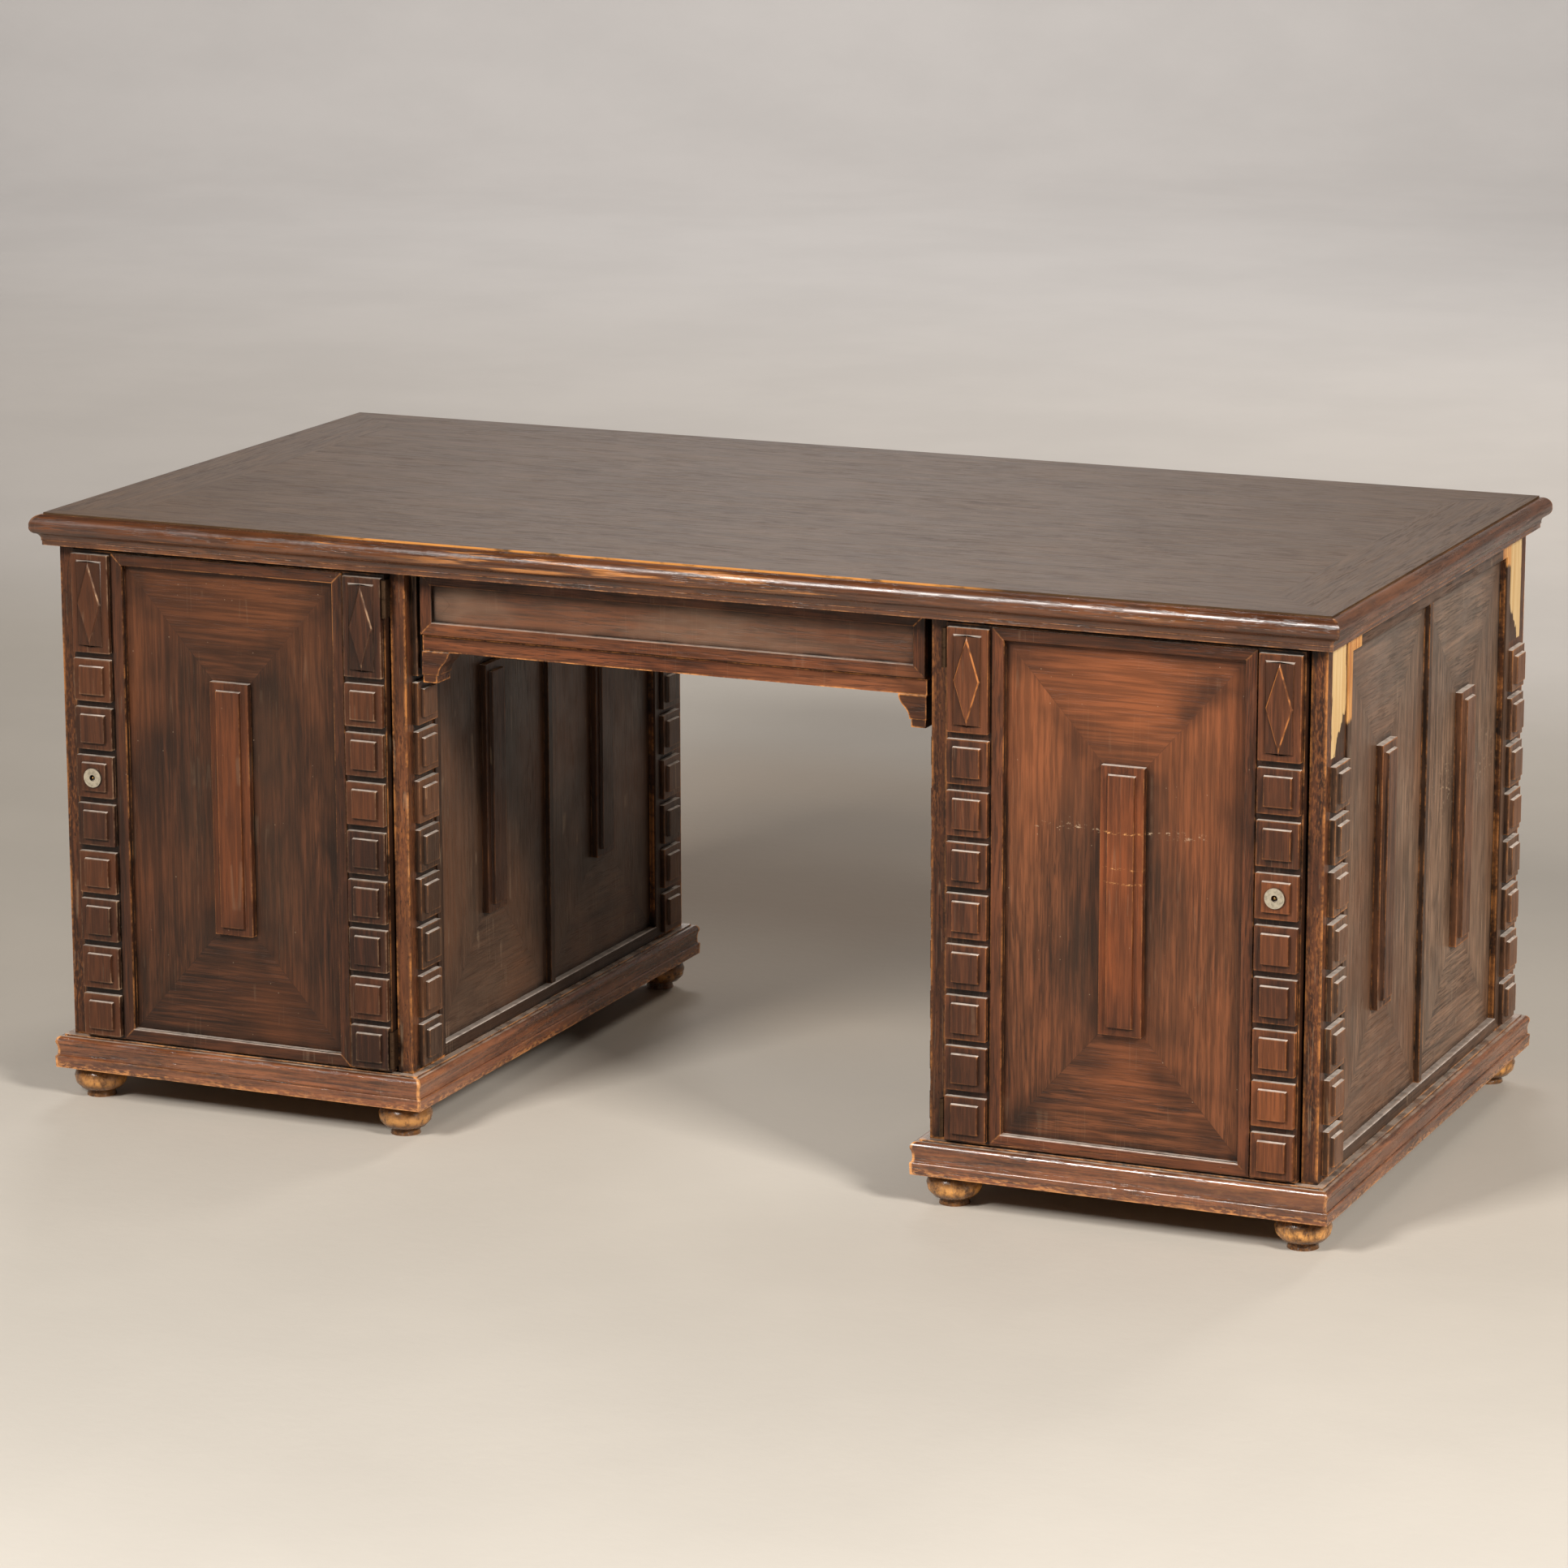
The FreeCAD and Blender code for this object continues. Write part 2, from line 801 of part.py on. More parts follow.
def door_bosses(hinge_side):
    """The bosses and lozenge plates of a door laid flat: the lock's boss has the keyhole."""
    bosses = []
    for side in (-1, 1):
        column = boss_column(side * door_column, door_proud)
        if side != hinge_side:
            row = boss_count - lock_row
            column[row] = column[row].cut(keyhole(side)).Solids[0]
        bosses += column + [column_head(side * door_column, door_proud)]
    return bosses


def hinge_axis(hinge_side):
    """Where a door turns, on a door laid flat: across the face and outwards from it."""
    return hinge_side * (door_half + door_gap / 2), door_proud + hinge_standoff


def hinge_levels():
    """The lower ends of the two hinges of a door."""
    middles = (door_low + hinge_inset, door_top - hinge_inset)
    return [middle - hinge_height / 2 for middle in middles]


def knuckle_spans(low):
    """The spans of the fixed knuckle and of the door's knuckle, which drops over the pin above it."""
    middle = low + hinge_height / 2
    half_gap = knuckle_gap / 2
    return (low, middle - half_gap), (middle + half_gap, low + hinge_height)


def barrel(radius, across, out, span):
    """A cylinder along the hinge axis of a door laid flat."""
    return Part.makeCylinder(radius, span[1] - span[0], Vector(across, span[0], out), Vector(0, 1, 0))


def hinge_leaf(hinge_side, low, on_door):
    """One leaf of a hinge with its knuckle, notched for the other leaf's: the fixed one carries the pin."""
    across, out = hinge_axis(hinge_side)
    fixed, moving = knuckle_spans(low)
    own, other = (moving, fixed) if on_door else (fixed, moving)
    thickness = (door_gap - leaf_play) / 2
    seat = door_half if on_door else half_inside
    face = seat + thickness if on_door else seat - thickness
    near = hinge_side * seat
    far = hinge_side * face
    leaf = box(near, far, low, low + hinge_height, out - leaf_width, out)
    reach = out - knuckle_radius - knuckle_gap
    notch = box(near, far, other[0] - knuckle_gap, other[1] + knuckle_gap, reach, out)
    leaf = leaf.cut(notch).fuse(barrel(knuckle_radius, across, out, own))
    if on_door:
        leaf = leaf.cut(barrel(pin_radius + pin_clearance, across, out, own))
    else:
        leaf = leaf.fuse(barrel(pin_radius, across, out, (own[0], other[1])))
    return leaf.removeSplitter().Solids[0]


def door_hinges(hinge_side):
    """The moving leaves of a door laid flat."""
    return [hinge_leaf(hinge_side, low, True) for low in hinge_levels()]


def hinge_butts():
    """The fixed leaves on the corner stiles."""
    leaves = []
    for name, (_, _, _, hinge_side) in cupboards().items():
        for low in hinge_levels():
            leaves.append(on_face(hinge_leaf(hinge_side, low, False), *door_place(name)))
    return leaves


def escutcheon(lock_side):
    """The round plate over the keyhole of a door laid flat."""
    centre = Vector(lock_side * door_column, lock_level, door_proud + boss_thickness)
    plate = Part.makeCylinder(escutcheon_radius, escutcheon_thickness, centre)
    return plate.cut(Part.makeCylinder(keyhole_radius, escutcheon_thickness, centre)).Solids[0]


def lock_bolt(lock_side):
    """The sliding bolt of a door laid flat, drawn back into its case."""
    end = lock_side * (door_half - case_setback)
    tail = end - lock_side * bolt_length
    low = lock_level - bolt_height / 2
    inner = bolt_depth() - bolt_thickness / 2
    return box(end, tail, low, low + bolt_height, inner, inner + bolt_thickness)


def door_lock(lock_side):
    """The lock case behind the stile, with the channel of its bolt, and the plate in front."""
    end = lock_side * (door_half - case_setback)
    low = lock_level - case_height / 2
    case = box(end, end - lock_side * case_length, low, low + case_height, door_back - case_depth, door_back)
    tail = end - lock_side * (bolt_length + bolt_clearance)
    half_height = bolt_height / 2 + bolt_clearance
    half_thickness = bolt_thickness / 2 + bolt_clearance
    middle = bolt_depth()
    channel = box(
        end,
        tail,
        lock_level - half_height,
        lock_level + half_height,
        middle - half_thickness,
        middle + half_thickness,
    )
    return [case.cut(channel).Solids[0], escutcheon(lock_side)]


def drawer_pieces():
    """The front drawer in place: its front with the strips, then its box."""
    x = drawer_half
    middle = (drawer_low + drawer_top) / 2
    back = -drawer_strip_depth - drawer_front_thickness
    board = box(-x, x, drawer_low, drawer_top, back, -drawer_strip_depth)
    section = flat_section(drawer_strip_width, -drawer_strip_depth, 0)
    half_x = x - drawer_strip_width
    half_y = drawer_front_height / 2 - drawer_strip_width
    strips = mitred_ring(section, half_x, half_y, Vector(0, middle, 0))
    front = [on_face(piece, 0, 0, -drawer_face) for piece in [board] + strips]

    outer = hanger_inner - drawer_hang_play
    inner = outer - drawer_wall
    low = runner_top + drawer_run_play
    high = low + drawer_wall_height
    start = -drawer_front_back
    end = -divider_thickness / 2 - drawer_back_room
    floor = low + drawer_bottom_lift
    body = [
        box(-outer, -inner, start, end, low, high),
        box(inner, outer, start, end, low, high),
        box(-inner, inner, end - drawer_wall, end, floor, high),
        box(-inner, inner, start, end - drawer_wall, floor, floor + drawer_bottom_thickness),
    ]
    return front, body


def apron_rails():
    """The fixed rail under each drawer front."""
    rails = []
    for face in (-1, 1):
        rails.append(box(-drawer_half, drawer_half, face * apron_face, face * hanger_end, apron_low, apron_top))
    return rails


def bowed(first, second, bulge):
    """An upright arc that leaves its chord by a bulge, to the left of the way from first to second."""
    way = second.sub(first)
    middle = first.add(second).multiply(0.5)
    side = Vector(-way.z, 0, way.x).normalize().multiply(bulge)
    return arc(first, middle.add(side), second)


def apron_bracket():
    """The right front bracket: a flat ogee with a small foot block, hung under the end of the rail."""
    outer = drawer_half
    front = -apron_face - bracket_proud
    back = front + bracket_depth
    low = apron_low - bracket_height
    ogee_low = low + bracket_foot_height
    foot = outer - bracket_foot_width
    upper = Vector(outer - bracket_width, front, apron_low)
    lower = Vector(foot - bracket_step, front, ogee_low)
    middle = upper.add(lower).multiply(0.5)
    edges = [
        line(Vector(outer, front, apron_low), upper),
        bowed(upper, middle, -bracket_bulge),
        bowed(middle, lower, bracket_bulge),
        line(lower, Vector(outer, front, ogee_low)),
        line(Vector(outer, front, ogee_low), Vector(outer, front, apron_low)),
    ]
    ogee = Part.Face(Part.Wire(edges)).extrude(Vector(0, bracket_depth, 0))
    block = box(foot, outer - bracket_foot_setback, front + bracket_foot_setback, back, low, ogee_low)
    return ogee.fuse(block).removeSplitter().Solids[0]


def apron_brackets():
    """The four brackets, two under each rail."""
    right = apron_bracket()
    left = right.mirror(Vector(), Vector(1, 0, 0))
    pair = [left, right]
    return pair + [bracket.rotated(Vector(), Vector(0, 0, 1), 180) for bracket in pair]


def drawer_hangers():
    """The boards hung from the bearers at both sides of the drawers, and the divider between the drawers."""
    boards = []
    for side in (-1, 1):
        inner = side * hanger_inner
        outer = side * drawer_half
        boards.append(box(inner, outer, -hanger_end, hanger_end, apron_low, carcass_top))
    y = divider_thickness / 2
    boards.append(box(-hanger_inner, hanger_inner, -y, y, apron_low, carcass_top))
    return boards


def drawer_runners():
    """The runners under the drawer sides, in front of the divider and behind it."""
    runners = []
    for side in (-1, 1):
        for face in (-1, 1):
            outer = side * hanger_inner
            inner = outer - side * runner_width
            start = face * divider_thickness / 2
            end = face * hanger_end
            runners.append(box(inner, outer, start, end, runner_top - runner_height, runner_top))
    return runners


def save(name, solids):
    """Writes one node."""
    shape = solids[0] if len(solids) == 1 else Part.makeCompound(solids)
    shape.exportStep(os.path.join("parts", name + ".step"))


def save_doors():
    """Writes the nodes of the four doors and their lock bolts."""
    for name, (_, _, _, hinge_side) in cupboards().items():
        lock_side = -hinge_side
        nodes = {
            "frame": door_frame(hinge_side),
            "panel": quartered_panel(0, door_sight, door_proud),
            "mouldings": door_mouldings(),
            "bosses": door_bosses(hinge_side),
            "hinges": door_hinges(hinge_side),
            "lock": door_lock(lock_side),
            "bolt": [lock_bolt(lock_side)],
        }
        for part, solids in nodes.items():
            placed = [on_face(solid, *door_place(name)) for solid in solids]
            save("door_" + name + "_" + part, placed)


def save_drawers():
    """Writes the nodes of the two drawers, the back one being the front one turned round."""
    front, body = drawer_pieces()
    for name, turn in (("front", 0), ("back", 180)):
        for part, solids in (("face", front), ("box", body)):
            turned = [solid.rotated(Vector(), Vector(0, 0, 1), turn) for solid in solids]
            save("drawer_" + name + "_" + part, turned)


def main():
    """Builds and writes every node."""
    os.makedirs("parts", exist_ok=True)
    fixed = [
        top_core,
        top_veneer,
        top_moulding,
        top_bearers,
        locating_pegs,
        crown_boards,
        bottom_boards,
        partitions,
        shelves,
        shelf_cleats,
        plinth_mouldings,
        foot_blocks,
        bun_feet,
        corner_stiles,
        side_rails,
        side_panels,
        side_strips,
        side_tablets,
        side_bosses,
        side_lozenges,
        hinge_butts,
        apron_rails,
        apron_brackets,
        drawer_hangers,
        drawer_runners,
    ]
    for piece in fixed:
        save(piece.__name__, piece())
    save_doors()
    save_drawers()


main()
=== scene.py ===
"""Dresses the partners desk: stained oak and its wear, the key pins, the stage, the light and the camera."""
import logging
import math
from dataclasses import dataclass, replace
from enum import Enum
from typing import Sequence, Union

import bmesh
import bpy
from mathutils import Matrix, Vector


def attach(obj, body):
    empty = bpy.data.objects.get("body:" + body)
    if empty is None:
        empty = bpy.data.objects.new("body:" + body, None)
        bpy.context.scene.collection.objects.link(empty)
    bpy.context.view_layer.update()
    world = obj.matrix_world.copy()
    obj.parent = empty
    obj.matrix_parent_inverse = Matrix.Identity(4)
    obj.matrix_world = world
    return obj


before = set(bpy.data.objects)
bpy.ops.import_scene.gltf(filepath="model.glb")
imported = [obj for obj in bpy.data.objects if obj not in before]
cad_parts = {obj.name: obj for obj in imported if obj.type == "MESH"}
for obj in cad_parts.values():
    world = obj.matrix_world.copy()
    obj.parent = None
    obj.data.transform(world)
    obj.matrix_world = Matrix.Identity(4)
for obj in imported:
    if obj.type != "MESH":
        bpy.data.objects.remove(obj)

LOG = logging.getLogger("partners_desk")

Colour = tuple[float, float, float, float]
Triple = tuple[float, float, float]
Socket = bpy.types.NodeSocket
Value = Union[float, Sequence[float], Socket]


def stain(red: int, green: int, blue: int) -> Colour:
    """Turns a colour as it is seen on a screen into the linear one that a shader takes.

    Args:
        red: Red from 0 to 255.
        green: Green from 0 to 255.
        blue: Blue from 0 to 255.

    Returns:
        The linear colour with full cover.
    """
    def linear(part: int) -> float:
        """One channel, linear."""
        share = part / 255
        return share / 12.92 if share <= 0.04045 else ((share + 0.055) / 1.055) ** 2.4

    return linear(red), linear(green), linear(blue), 1.0


class Axis(Enum):
    """The axes of the desk: X along it, Y to the back and Z up."""

    X = "X"
    Y = "Y"
    Z = "Z"


@dataclass(frozen=True)
class Step:
    """A smooth step: where it starts and ends, and what comes out before and after it."""

    low: float
    high: float
    before: float = 0.0
    after: float = 1.0

    def between(self, before: float, after: float) -> "Step":
        """The same step with other results."""
        return replace(self, before=before, after=after)


@dataclass(frozen=True)
class Figure:
    """A pattern of soft noise: how fine it is, the step that is made of it, and its finer layers."""

    fineness: float | Triple
    step: Step | None = None
    detail: float = 2.0
    rough: float = 0.5
    shift: Triple = (0, 0, 0)
    bend: float = 0.0

    def between(self, before: float, after: float) -> "Figure":
        """The same pattern with other results of its step."""
        return replace(self, step=self.step.between(before, after))


@dataclass(frozen=True)
class Span:
    """A stretch of the desk along one axis, in metres, with soft ends."""

    axis: Axis
    low: float
    high: float
    soft: float = 0.002


@dataclass(frozen=True)
class Fold:
    """A distance from the middle of something that is met on both sides of the desk.

    A centre other than 0 on X or Y folds the desk about its own middle first.
    """

    axis: Axis
    centre: float = 0.0


PEDESTAL_MIDDLE = 0.6035
PEDESTAL = Fold(Axis.X, PEDESTAL_MIDDLE)
SIDE_PANEL = Fold(Axis.Y, 0.164)
DESK_LENGTH = Fold(Axis.X)
DESK_DEPTH = Fold(Axis.Y)
PANEL_HEIGHT = Fold(Axis.Z, 0.41075)
DRAWER_HEIGHT = Fold(Axis.Z, 0.6955)
KNEEHOLE_WALL = Step(0.36, 0.38)
RIGHT_OUTER_SIDE = Span(Axis.X, 0.8505, 0.9)


@dataclass(frozen=True)
class Mask:
    """Where a mark shows: the product of patterns, stretches of the desk, steps along it and a share."""

    figures: tuple[Figure, ...] = ()
    spans: tuple[Span, ...] = ()
    steps: tuple[tuple[Axis | Fold, Step], ...] = ()
    upward: Step | None = None
    share: float = 1.0


Marks = tuple[tuple[Mask, Colour], ...]


@dataclass(frozen=True)
class Grain:
    """Which way the grain runs, and where it turns at a mitre or a joint.

    The grain turns where first - first_edge is more than slope times second - second_edge, and where first is
    past start.
    """

    along: Axis
    turned: Axis | None = None
    first: Fold = PANEL_HEIGHT
    first_edge: float = 0.0
    second: Fold = PEDESTAL
    second_edge: float = 0.0
    slope: float = 0.0
    start: float = 0.0


class Lay(Enum):
    """The grain of each kind of piece."""

    UPRIGHT = Grain(Axis.Z)
    LENGTHWISE = Grain(Axis.X)
    CROSSWISE = Grain(Axis.Y)
    TOP = Grain(Axis.X, Axis.Y, DESK_LENGTH, 0.762, DESK_DEPTH, 0.3315, 1.0, 0.762)
    TOP_EDGE = Grain(Axis.X, Axis.Y, DESK_LENGTH, 0.862, DESK_DEPTH, 0.4315, 1.0)
    PLINTH = Grain(Axis.X, Axis.Y, PEDESTAL, 0.248, DESK_DEPTH, 0.411, 1.0)
    DOOR_FRAME = Grain(Axis.X, Axis.Z, PEDESTAL, 0.1515)
    DOOR_LEAVES = Grain(Axis.Z, Axis.X, PANEL_HEIGHT, 0.1344, PEDESTAL, 0.0, 1.1309)
    DOOR_STRIPS = Grain(Axis.Z, Axis.X, PANEL_HEIGHT, 0.30625, PEDESTAL, 0.1515, 1.0, 0.25)
    SIDE_FRAME = Grain(Axis.Z, Axis.Y, PANEL_HEIGHT, 0.306)
    SIDE_LEAVES = Grain(Axis.Z, Axis.Y, PANEL_HEIGHT, 0.1359, SIDE_PANEL, 0.0, 1.0762)
    SIDE_STRIPS = Grain(Axis.Z, Axis.Y, PANEL_HEIGHT, 0.30625, DESK_DEPTH, 0.322, 1.0)
    DRAWER = Grain(Axis.X, Axis.Z, DESK_LENGTH, 0.325, DRAWER_HEIGHT, 0.0235, 1.0, 0.325)


class Sheet:
    """Adds and links the shader nodes of one material."""

    near_samples = 8

    def __init__(self, name: str) -> None:
        """Starts an empty material.

        Args:
            name: The material's name.
        """
        self.material = bpy.data.materials.new(name)
        self.material.use_nodes = True
        self.tree = self.material.node_tree
        self.tree.nodes.clear()
        source = self.node("ShaderNodeTexCoord")
        self.place = source.outputs["Object"]
        self.facing = source.outputs["Normal"]
        split = self.node("ShaderNodeSeparateXYZ")
        self.feed(split.inputs["Vector"], self.place)
        self.coordinate = {axis: split.outputs[axis.value] for axis in Axis}

    def node(self, kind: str, **settings: object) -> bpy.types.Node:
        """Adds a node.

        Args:
            kind: The node's type.
            **settings: Properties to set on it.

        Returns:
            The new node.
        """
        made = self.tree.nodes.new(kind)
        for key, setting in settings.items():
            setattr(made, key, setting)
        return made

    def feed(self, socket: Socket, value: Value) -> None:
        """Links a socket, or sets its value where that is a constant.

        Args:
            socket: The socket.
            value: Another socket, or a constant.
        """
        if isinstance(value, bpy.types.NodeSocket):
            self.tree.links.new(value, socket)
        else:
            socket.default_value = value

    def math(self, operation: str, *values: Value, clamp: bool = False) -> Socket:
        """A sum on numbers.

        Args:
            operation: The sum's name.
            *values: Its numbers.
            clamp: Whether the result is kept from 0 to 1.

        Returns:
            The result.
        """
        made = self.node("ShaderNodeMath", operation=operation, use_clamp=clamp)
        for socket, value in zip(made.inputs, values):
            self.feed(socket, value)
        return made.outputs["Value"]

    def times(self, *values: Value) -> Socket:
        """The product of some values, or where all of some masks are.

        Args:
            *values: The values, or the masks from 0 to 1.

        Returns:
            The product.
        """
        product = values[0]
        for value in values[1:]:
            product = self.math("MULTIPLY", product, value)
        return product

    def apart(self, value: Value, other: Value) -> Socket:
        """The distance between two values."""
        return self.math("ABSOLUTE", self.math("SUBTRACT", value, other))

    def step(self, value: Value, step: Step) -> Socket:
        """Steps a value.

        Args:
            value: What is stepped.
            step: Where, and what comes out.

        Returns:
            The stepped value.
        """
        made = self.node("ShaderNodeMapRange", interpolation_type="SMOOTHSTEP")
        for socket, given in zip(made.inputs, (value, step.low, step.high, step.before, step.after)):
            self.feed(socket, given)
        return made.outputs["Result"]

    def colour(self, share: Value, first: Value, second: Value, blend: str = "MIX") -> Socket:
        """Lays one colour over another.

        Args:
            share: How much of the second colour shows.
            first: The colour below.
            second: The colour above.
            blend: The way of mixing.

        Returns:
            The mixed colour.
        """
        made = self.node("ShaderNodeMix", data_type="RGBA", blend_type=blend)
        self.feed(made.inputs[0], share)
        self.feed(made.inputs[6], first)
        self.feed(made.inputs[7], second)
        return made.outputs[2]

    def stretched(self, place: Socket, scale: Triple, shift: Triple, turn: Triple = (0, 0, 0)) -> Socket:
        """Scales, turns and shifts a place.

        Args:
            place: The place.
            scale: How much finer each axis gets.
            shift: How far it is moved.
            turn: How far it is turned, in radians.

        Returns:
            The place in the pattern.
        """
        made = self.node("ShaderNodeMapping")
        for name, given in (("Vector", place), ("Location", shift), ("Rotation", turn), ("Scale", scale)):
            self.feed(made.inputs[name], given)
        return made.outputs["Vector"]

    def noise(self, figure: Figure, place: Socket | None = None) -> Socket:
        """A pattern of soft noise.

        Args:
            figure: The pattern.
            place: Where it is read, if not at the place on the desk.

        Returns:
            The stepped pattern, or a value about 0.5 where the figure has no step.
        """
        if place is None:
            place = self.place
        scale = figure.fineness
        if isinstance(scale, tuple):
            place, scale = self.stretched(place, scale, figure.shift), 1.0
        made = self.node("ShaderNodeTexNoise")
        settings = {"Vector": place, "Scale": scale, "Detail": figure.detail, "Roughness": figure.rough}
        for name, given in settings.items():
            self.feed(made.inputs[name], given)
        self.feed(made.inputs["Distortion"], figure.bend)
        value = made.outputs["Fac"]
        return self.step(value, figure.step) if figure.step else value

    def hollow(self, reach: float, inside: bool = False) -> Socket:
        """How much is near within reach: corners and grooves, or with inside the sharp edges of a piece.

        Args:
            reach: How far to look, in metres.
            inside: Whether to look into the piece.

        Returns:
            0 in the open and more towards 1 where something is near.
        """
        made = self.node("ShaderNodeAmbientOcclusion", samples=self.near_samples, inside=inside)
        self.feed(made.inputs["Distance"], reach)
        return self.math("SUBTRACT", 1.0, made.outputs["AO"])

    def facing_way(self, axis: Axis, step: Step) -> Socket:
        """How far the surface faces along an axis.

        Args:
            axis: The axis.
            step: The parts of the normal from which it counts, and counts in full.

        Returns:
            A value from 0 to 1.
        """
        split = self.node("ShaderNodeSeparateXYZ")
        self.feed(split.inputs["Vector"], self.facing)
        return self.step(split.outputs[axis.value], step)

    def specks(self, fineness: float, share: float, size: Step) -> Socket:
        """Tiny dots.

        Args:
            fineness: How many could lie side by side on a metre.
            share: The part of them that shows.
            size: How a dot ends, as a part of the distance between dots.

        Returns:
            1 in a dot and 0 beside it.
        """
        cells = self.node("ShaderNodeTexVoronoi")
        self.feed(cells.inputs["Vector"], self.place)
        self.feed(cells.inputs["Scale"], fineness)
        pick = self.node("ShaderNodeSeparateColor")
        self.feed(pick.inputs["Color"], cells.outputs["Color"])
        chosen = self.math("LESS_THAN", pick.outputs["Red"], share)
        return self.times(chosen, self.step(cells.outputs["Distance"], size))

    def folded(self, fold: Fold) -> Socket:
        """The distance that a fold stands for.

        Args:
            fold: The fold.

        Returns:
            The distance in metres.
        """
        value = self.coordinate[fold.axis]
        if fold.axis is not Axis.Z:
            value = self.math("ABSOLUTE", value)
        return self.apart(value, fold.centre) if fold.centre else value

    def along(self, axis: Axis) -> Socket:
        """The place with one axis moved to the end, as the grain's own."""
        order = [other for other in Axis if other is not axis] + [axis]
        return self.joined(*(self.coordinate[source] for source in order))

    def joined(self, *parts: Socket) -> Socket:
        """Three numbers as one place."""
        made = self.node("ShaderNodeCombineXYZ")
        for socket, part in zip(made.inputs, parts):
            self.feed(socket, part)
        return made.outputs["Vector"]

    def grain(self, lay: Lay) -> tuple[Socket, Socket | None]:
        """Where a point lies in its own board.

        Args:
            lay: The grain of the piece.

        Returns:
            The place with the grain along its Z, and the distance from the mitre if the grain turns.
        """
        plan = lay.value
        straight = self.along(plan.along)
        if plan.turned is None:
            return straight, None
        first = self.folded(plan.first)
        near = self.math("SUBTRACT", first, plan.first_edge)
        far = self.times(self.math("SUBTRACT", self.folded(plan.second), plan.second_edge), plan.slope)
        past = self.math("SUBTRACT", near, far)
        turned = self.math("GREATER_THAN", past, 0.0)
        started = self.math("GREATER_THAN", first, plan.start)
        made = self.node("ShaderNodeMix", data_type="VECTOR")
        self.feed(made.inputs[0], self.times(turned, started))
        self.feed(made.inputs[4], straight)
        self.feed(made.inputs[5], self.along(plan.turned))
        seam = self.math("ABSOLUTE", self.math("DIVIDE", past, math.hypot(1.0, plan.slope)))
        return made.outputs[1], seam

    def inside(self, span: Span) -> Socket:
        """Marks off a stretch of the desk.

        Args:
            span: The stretch.

        Returns:
            1 within it and 0 outside it.
        """
        value = self.coordinate[span.axis]
        rise = self.step(value, Step(span.low - span.soft, span.low + span.soft))
        fall = self.step(value, Step(span.high - span.soft, span.high + span.soft, 1.0, 0.0))
        return self.times(rise, fall)

    def mask(self, mask: Mask, *others: Value) -> Socket:
        """How much a mark shows.

        Args:
            mask: Its patterns, stretches and steps.
            *others: More masks.

        Returns:
            A value from 0 to 1.
        """
        parts = [self.noise(figure) for figure in mask.figures]
        parts += [self.inside(span) for span in mask.spans]
        for way, step in mask.steps:
            parts.append(self.step(self.coordinate[way] if isinstance(way, Axis) else self.folded(way), step))
        if mask.upward:
            parts.append(self.facing_way(Axis.Z, mask.upward))
        return self.times(*parts, *others, mask.share)

    def painted(self, colour: Value, marks: Marks) -> Value:
        """Lays marks over a colour, one after the other.

        Args:
            colour: The colour below.
            marks: Where each shows, and its paint.

        Returns:
            The marked colour.
        """
        for mask, paint in marks:
            colour = self.colour(self.mask(mask), colour, paint)
        return colour

    def surface(self, colour: Value, roughness: Value, height: Value, **constants: float) -> None:
        """Finishes the material.

        Args:
            colour: Its colour.
            roughness: Its roughness.
            height: The relief in metres.
            **constants: Plain values of other sockets, with _ for a space.
        """
        shader = self.node("ShaderNodeBsdfPrincipled")
        self.feed(shader.inputs["Base Color"], colour)
        self.feed(shader.inputs["Roughness"], roughness)
        for name, given in constants.items():
            shader.inputs[name.replace("_", " ")].default_value = given
        bump = self.node("ShaderNodeBump")
        bump.inputs["Strength"].default_value = 1.0
        bump.inputs["Distance"].default_value = 1.0
        self.feed(bump.inputs["Height"], height)
        self.feed(shader.inputs["Normal"], bump.outputs["Normal"])
        end = self.node("ShaderNodeOutputMaterial")
        self.feed(end.inputs["Surface"], shader.outputs["BSDF"])


@dataclass(frozen=True)
class Scratches:
    """Long fine scratches that lean one way, in radians, and lie where a coarser noise is past a chance."""

    tilt: float
    chance: float
    seed: float
    fineness: Triple = (80, 80, 1.6)
    line: Step = Step(0.0, 0.022, 1.0, 0.0)
    spread: Triple = (14, 14, 14)
    fade: float = 0.06

    def marks(self, sheet: Sheet) -> Socket:
        """Draws the scratches.

        Args:
            sheet: The material.

        Returns:
            1 in a scratch and 0 beside it.
        """
        shift = (self.seed, self.seed * 0.7, self.seed * 1.3)
        leaning = sheet.stretched(sheet.place, self.fineness, shift, (self.tilt, self.tilt, 0.0))
        bands = sheet.noise(Figure(1.0, detail=0.0), leaning)
        here = Step(self.chance, self.chance + self.fade)
        where = Figure(self.spread, here, 3.0, shift=(self.seed, self.seed, 0))
        return sheet.times(sheet.step(sheet.apart(bands, 0.5), self.line), sheet.noise(where))


@dataclass(frozen=True)
class OakFigure:
    """The figure of all the oak, with the grain along Z."""

    streaks: Figure = Figure((150, 150, 6), Step(0.34, 0.64), 5.0, 0.68, bend=0.4)
    clouds: Figure = Figure((9, 9, 2.4), Step(0.4, 0.7), 3.0, 0.55, (3.1, 0.4, 1.7))
    rings: Figure = Figure((13, 13, 1.5), None, 2.0, 0.4, (1.9, 4.4, 0.2))
    ring_count: float = 26.0
    ring_line: Step = Step(0.0, 0.5, 0.4, 0.0)
    smoke: Figure = Figure((8, 8, 5), Step(0.44, 0.74), 3.0, 0.55, (0.3, 5.2, 2.9))
    pores: Figure = Figure((430, 430, 26), Step(0.51, 0.6), 2.0, 0.6)
    pore_patches: Figure = Figure((48, 48, 6), Step(0.32, 0.66, 0.3, 1.0))
    dark_streaks: Figure = Figure((240, 240, 9), Step(0.4, 0.6, 0.42, 0.0), 3.0, 0.6)


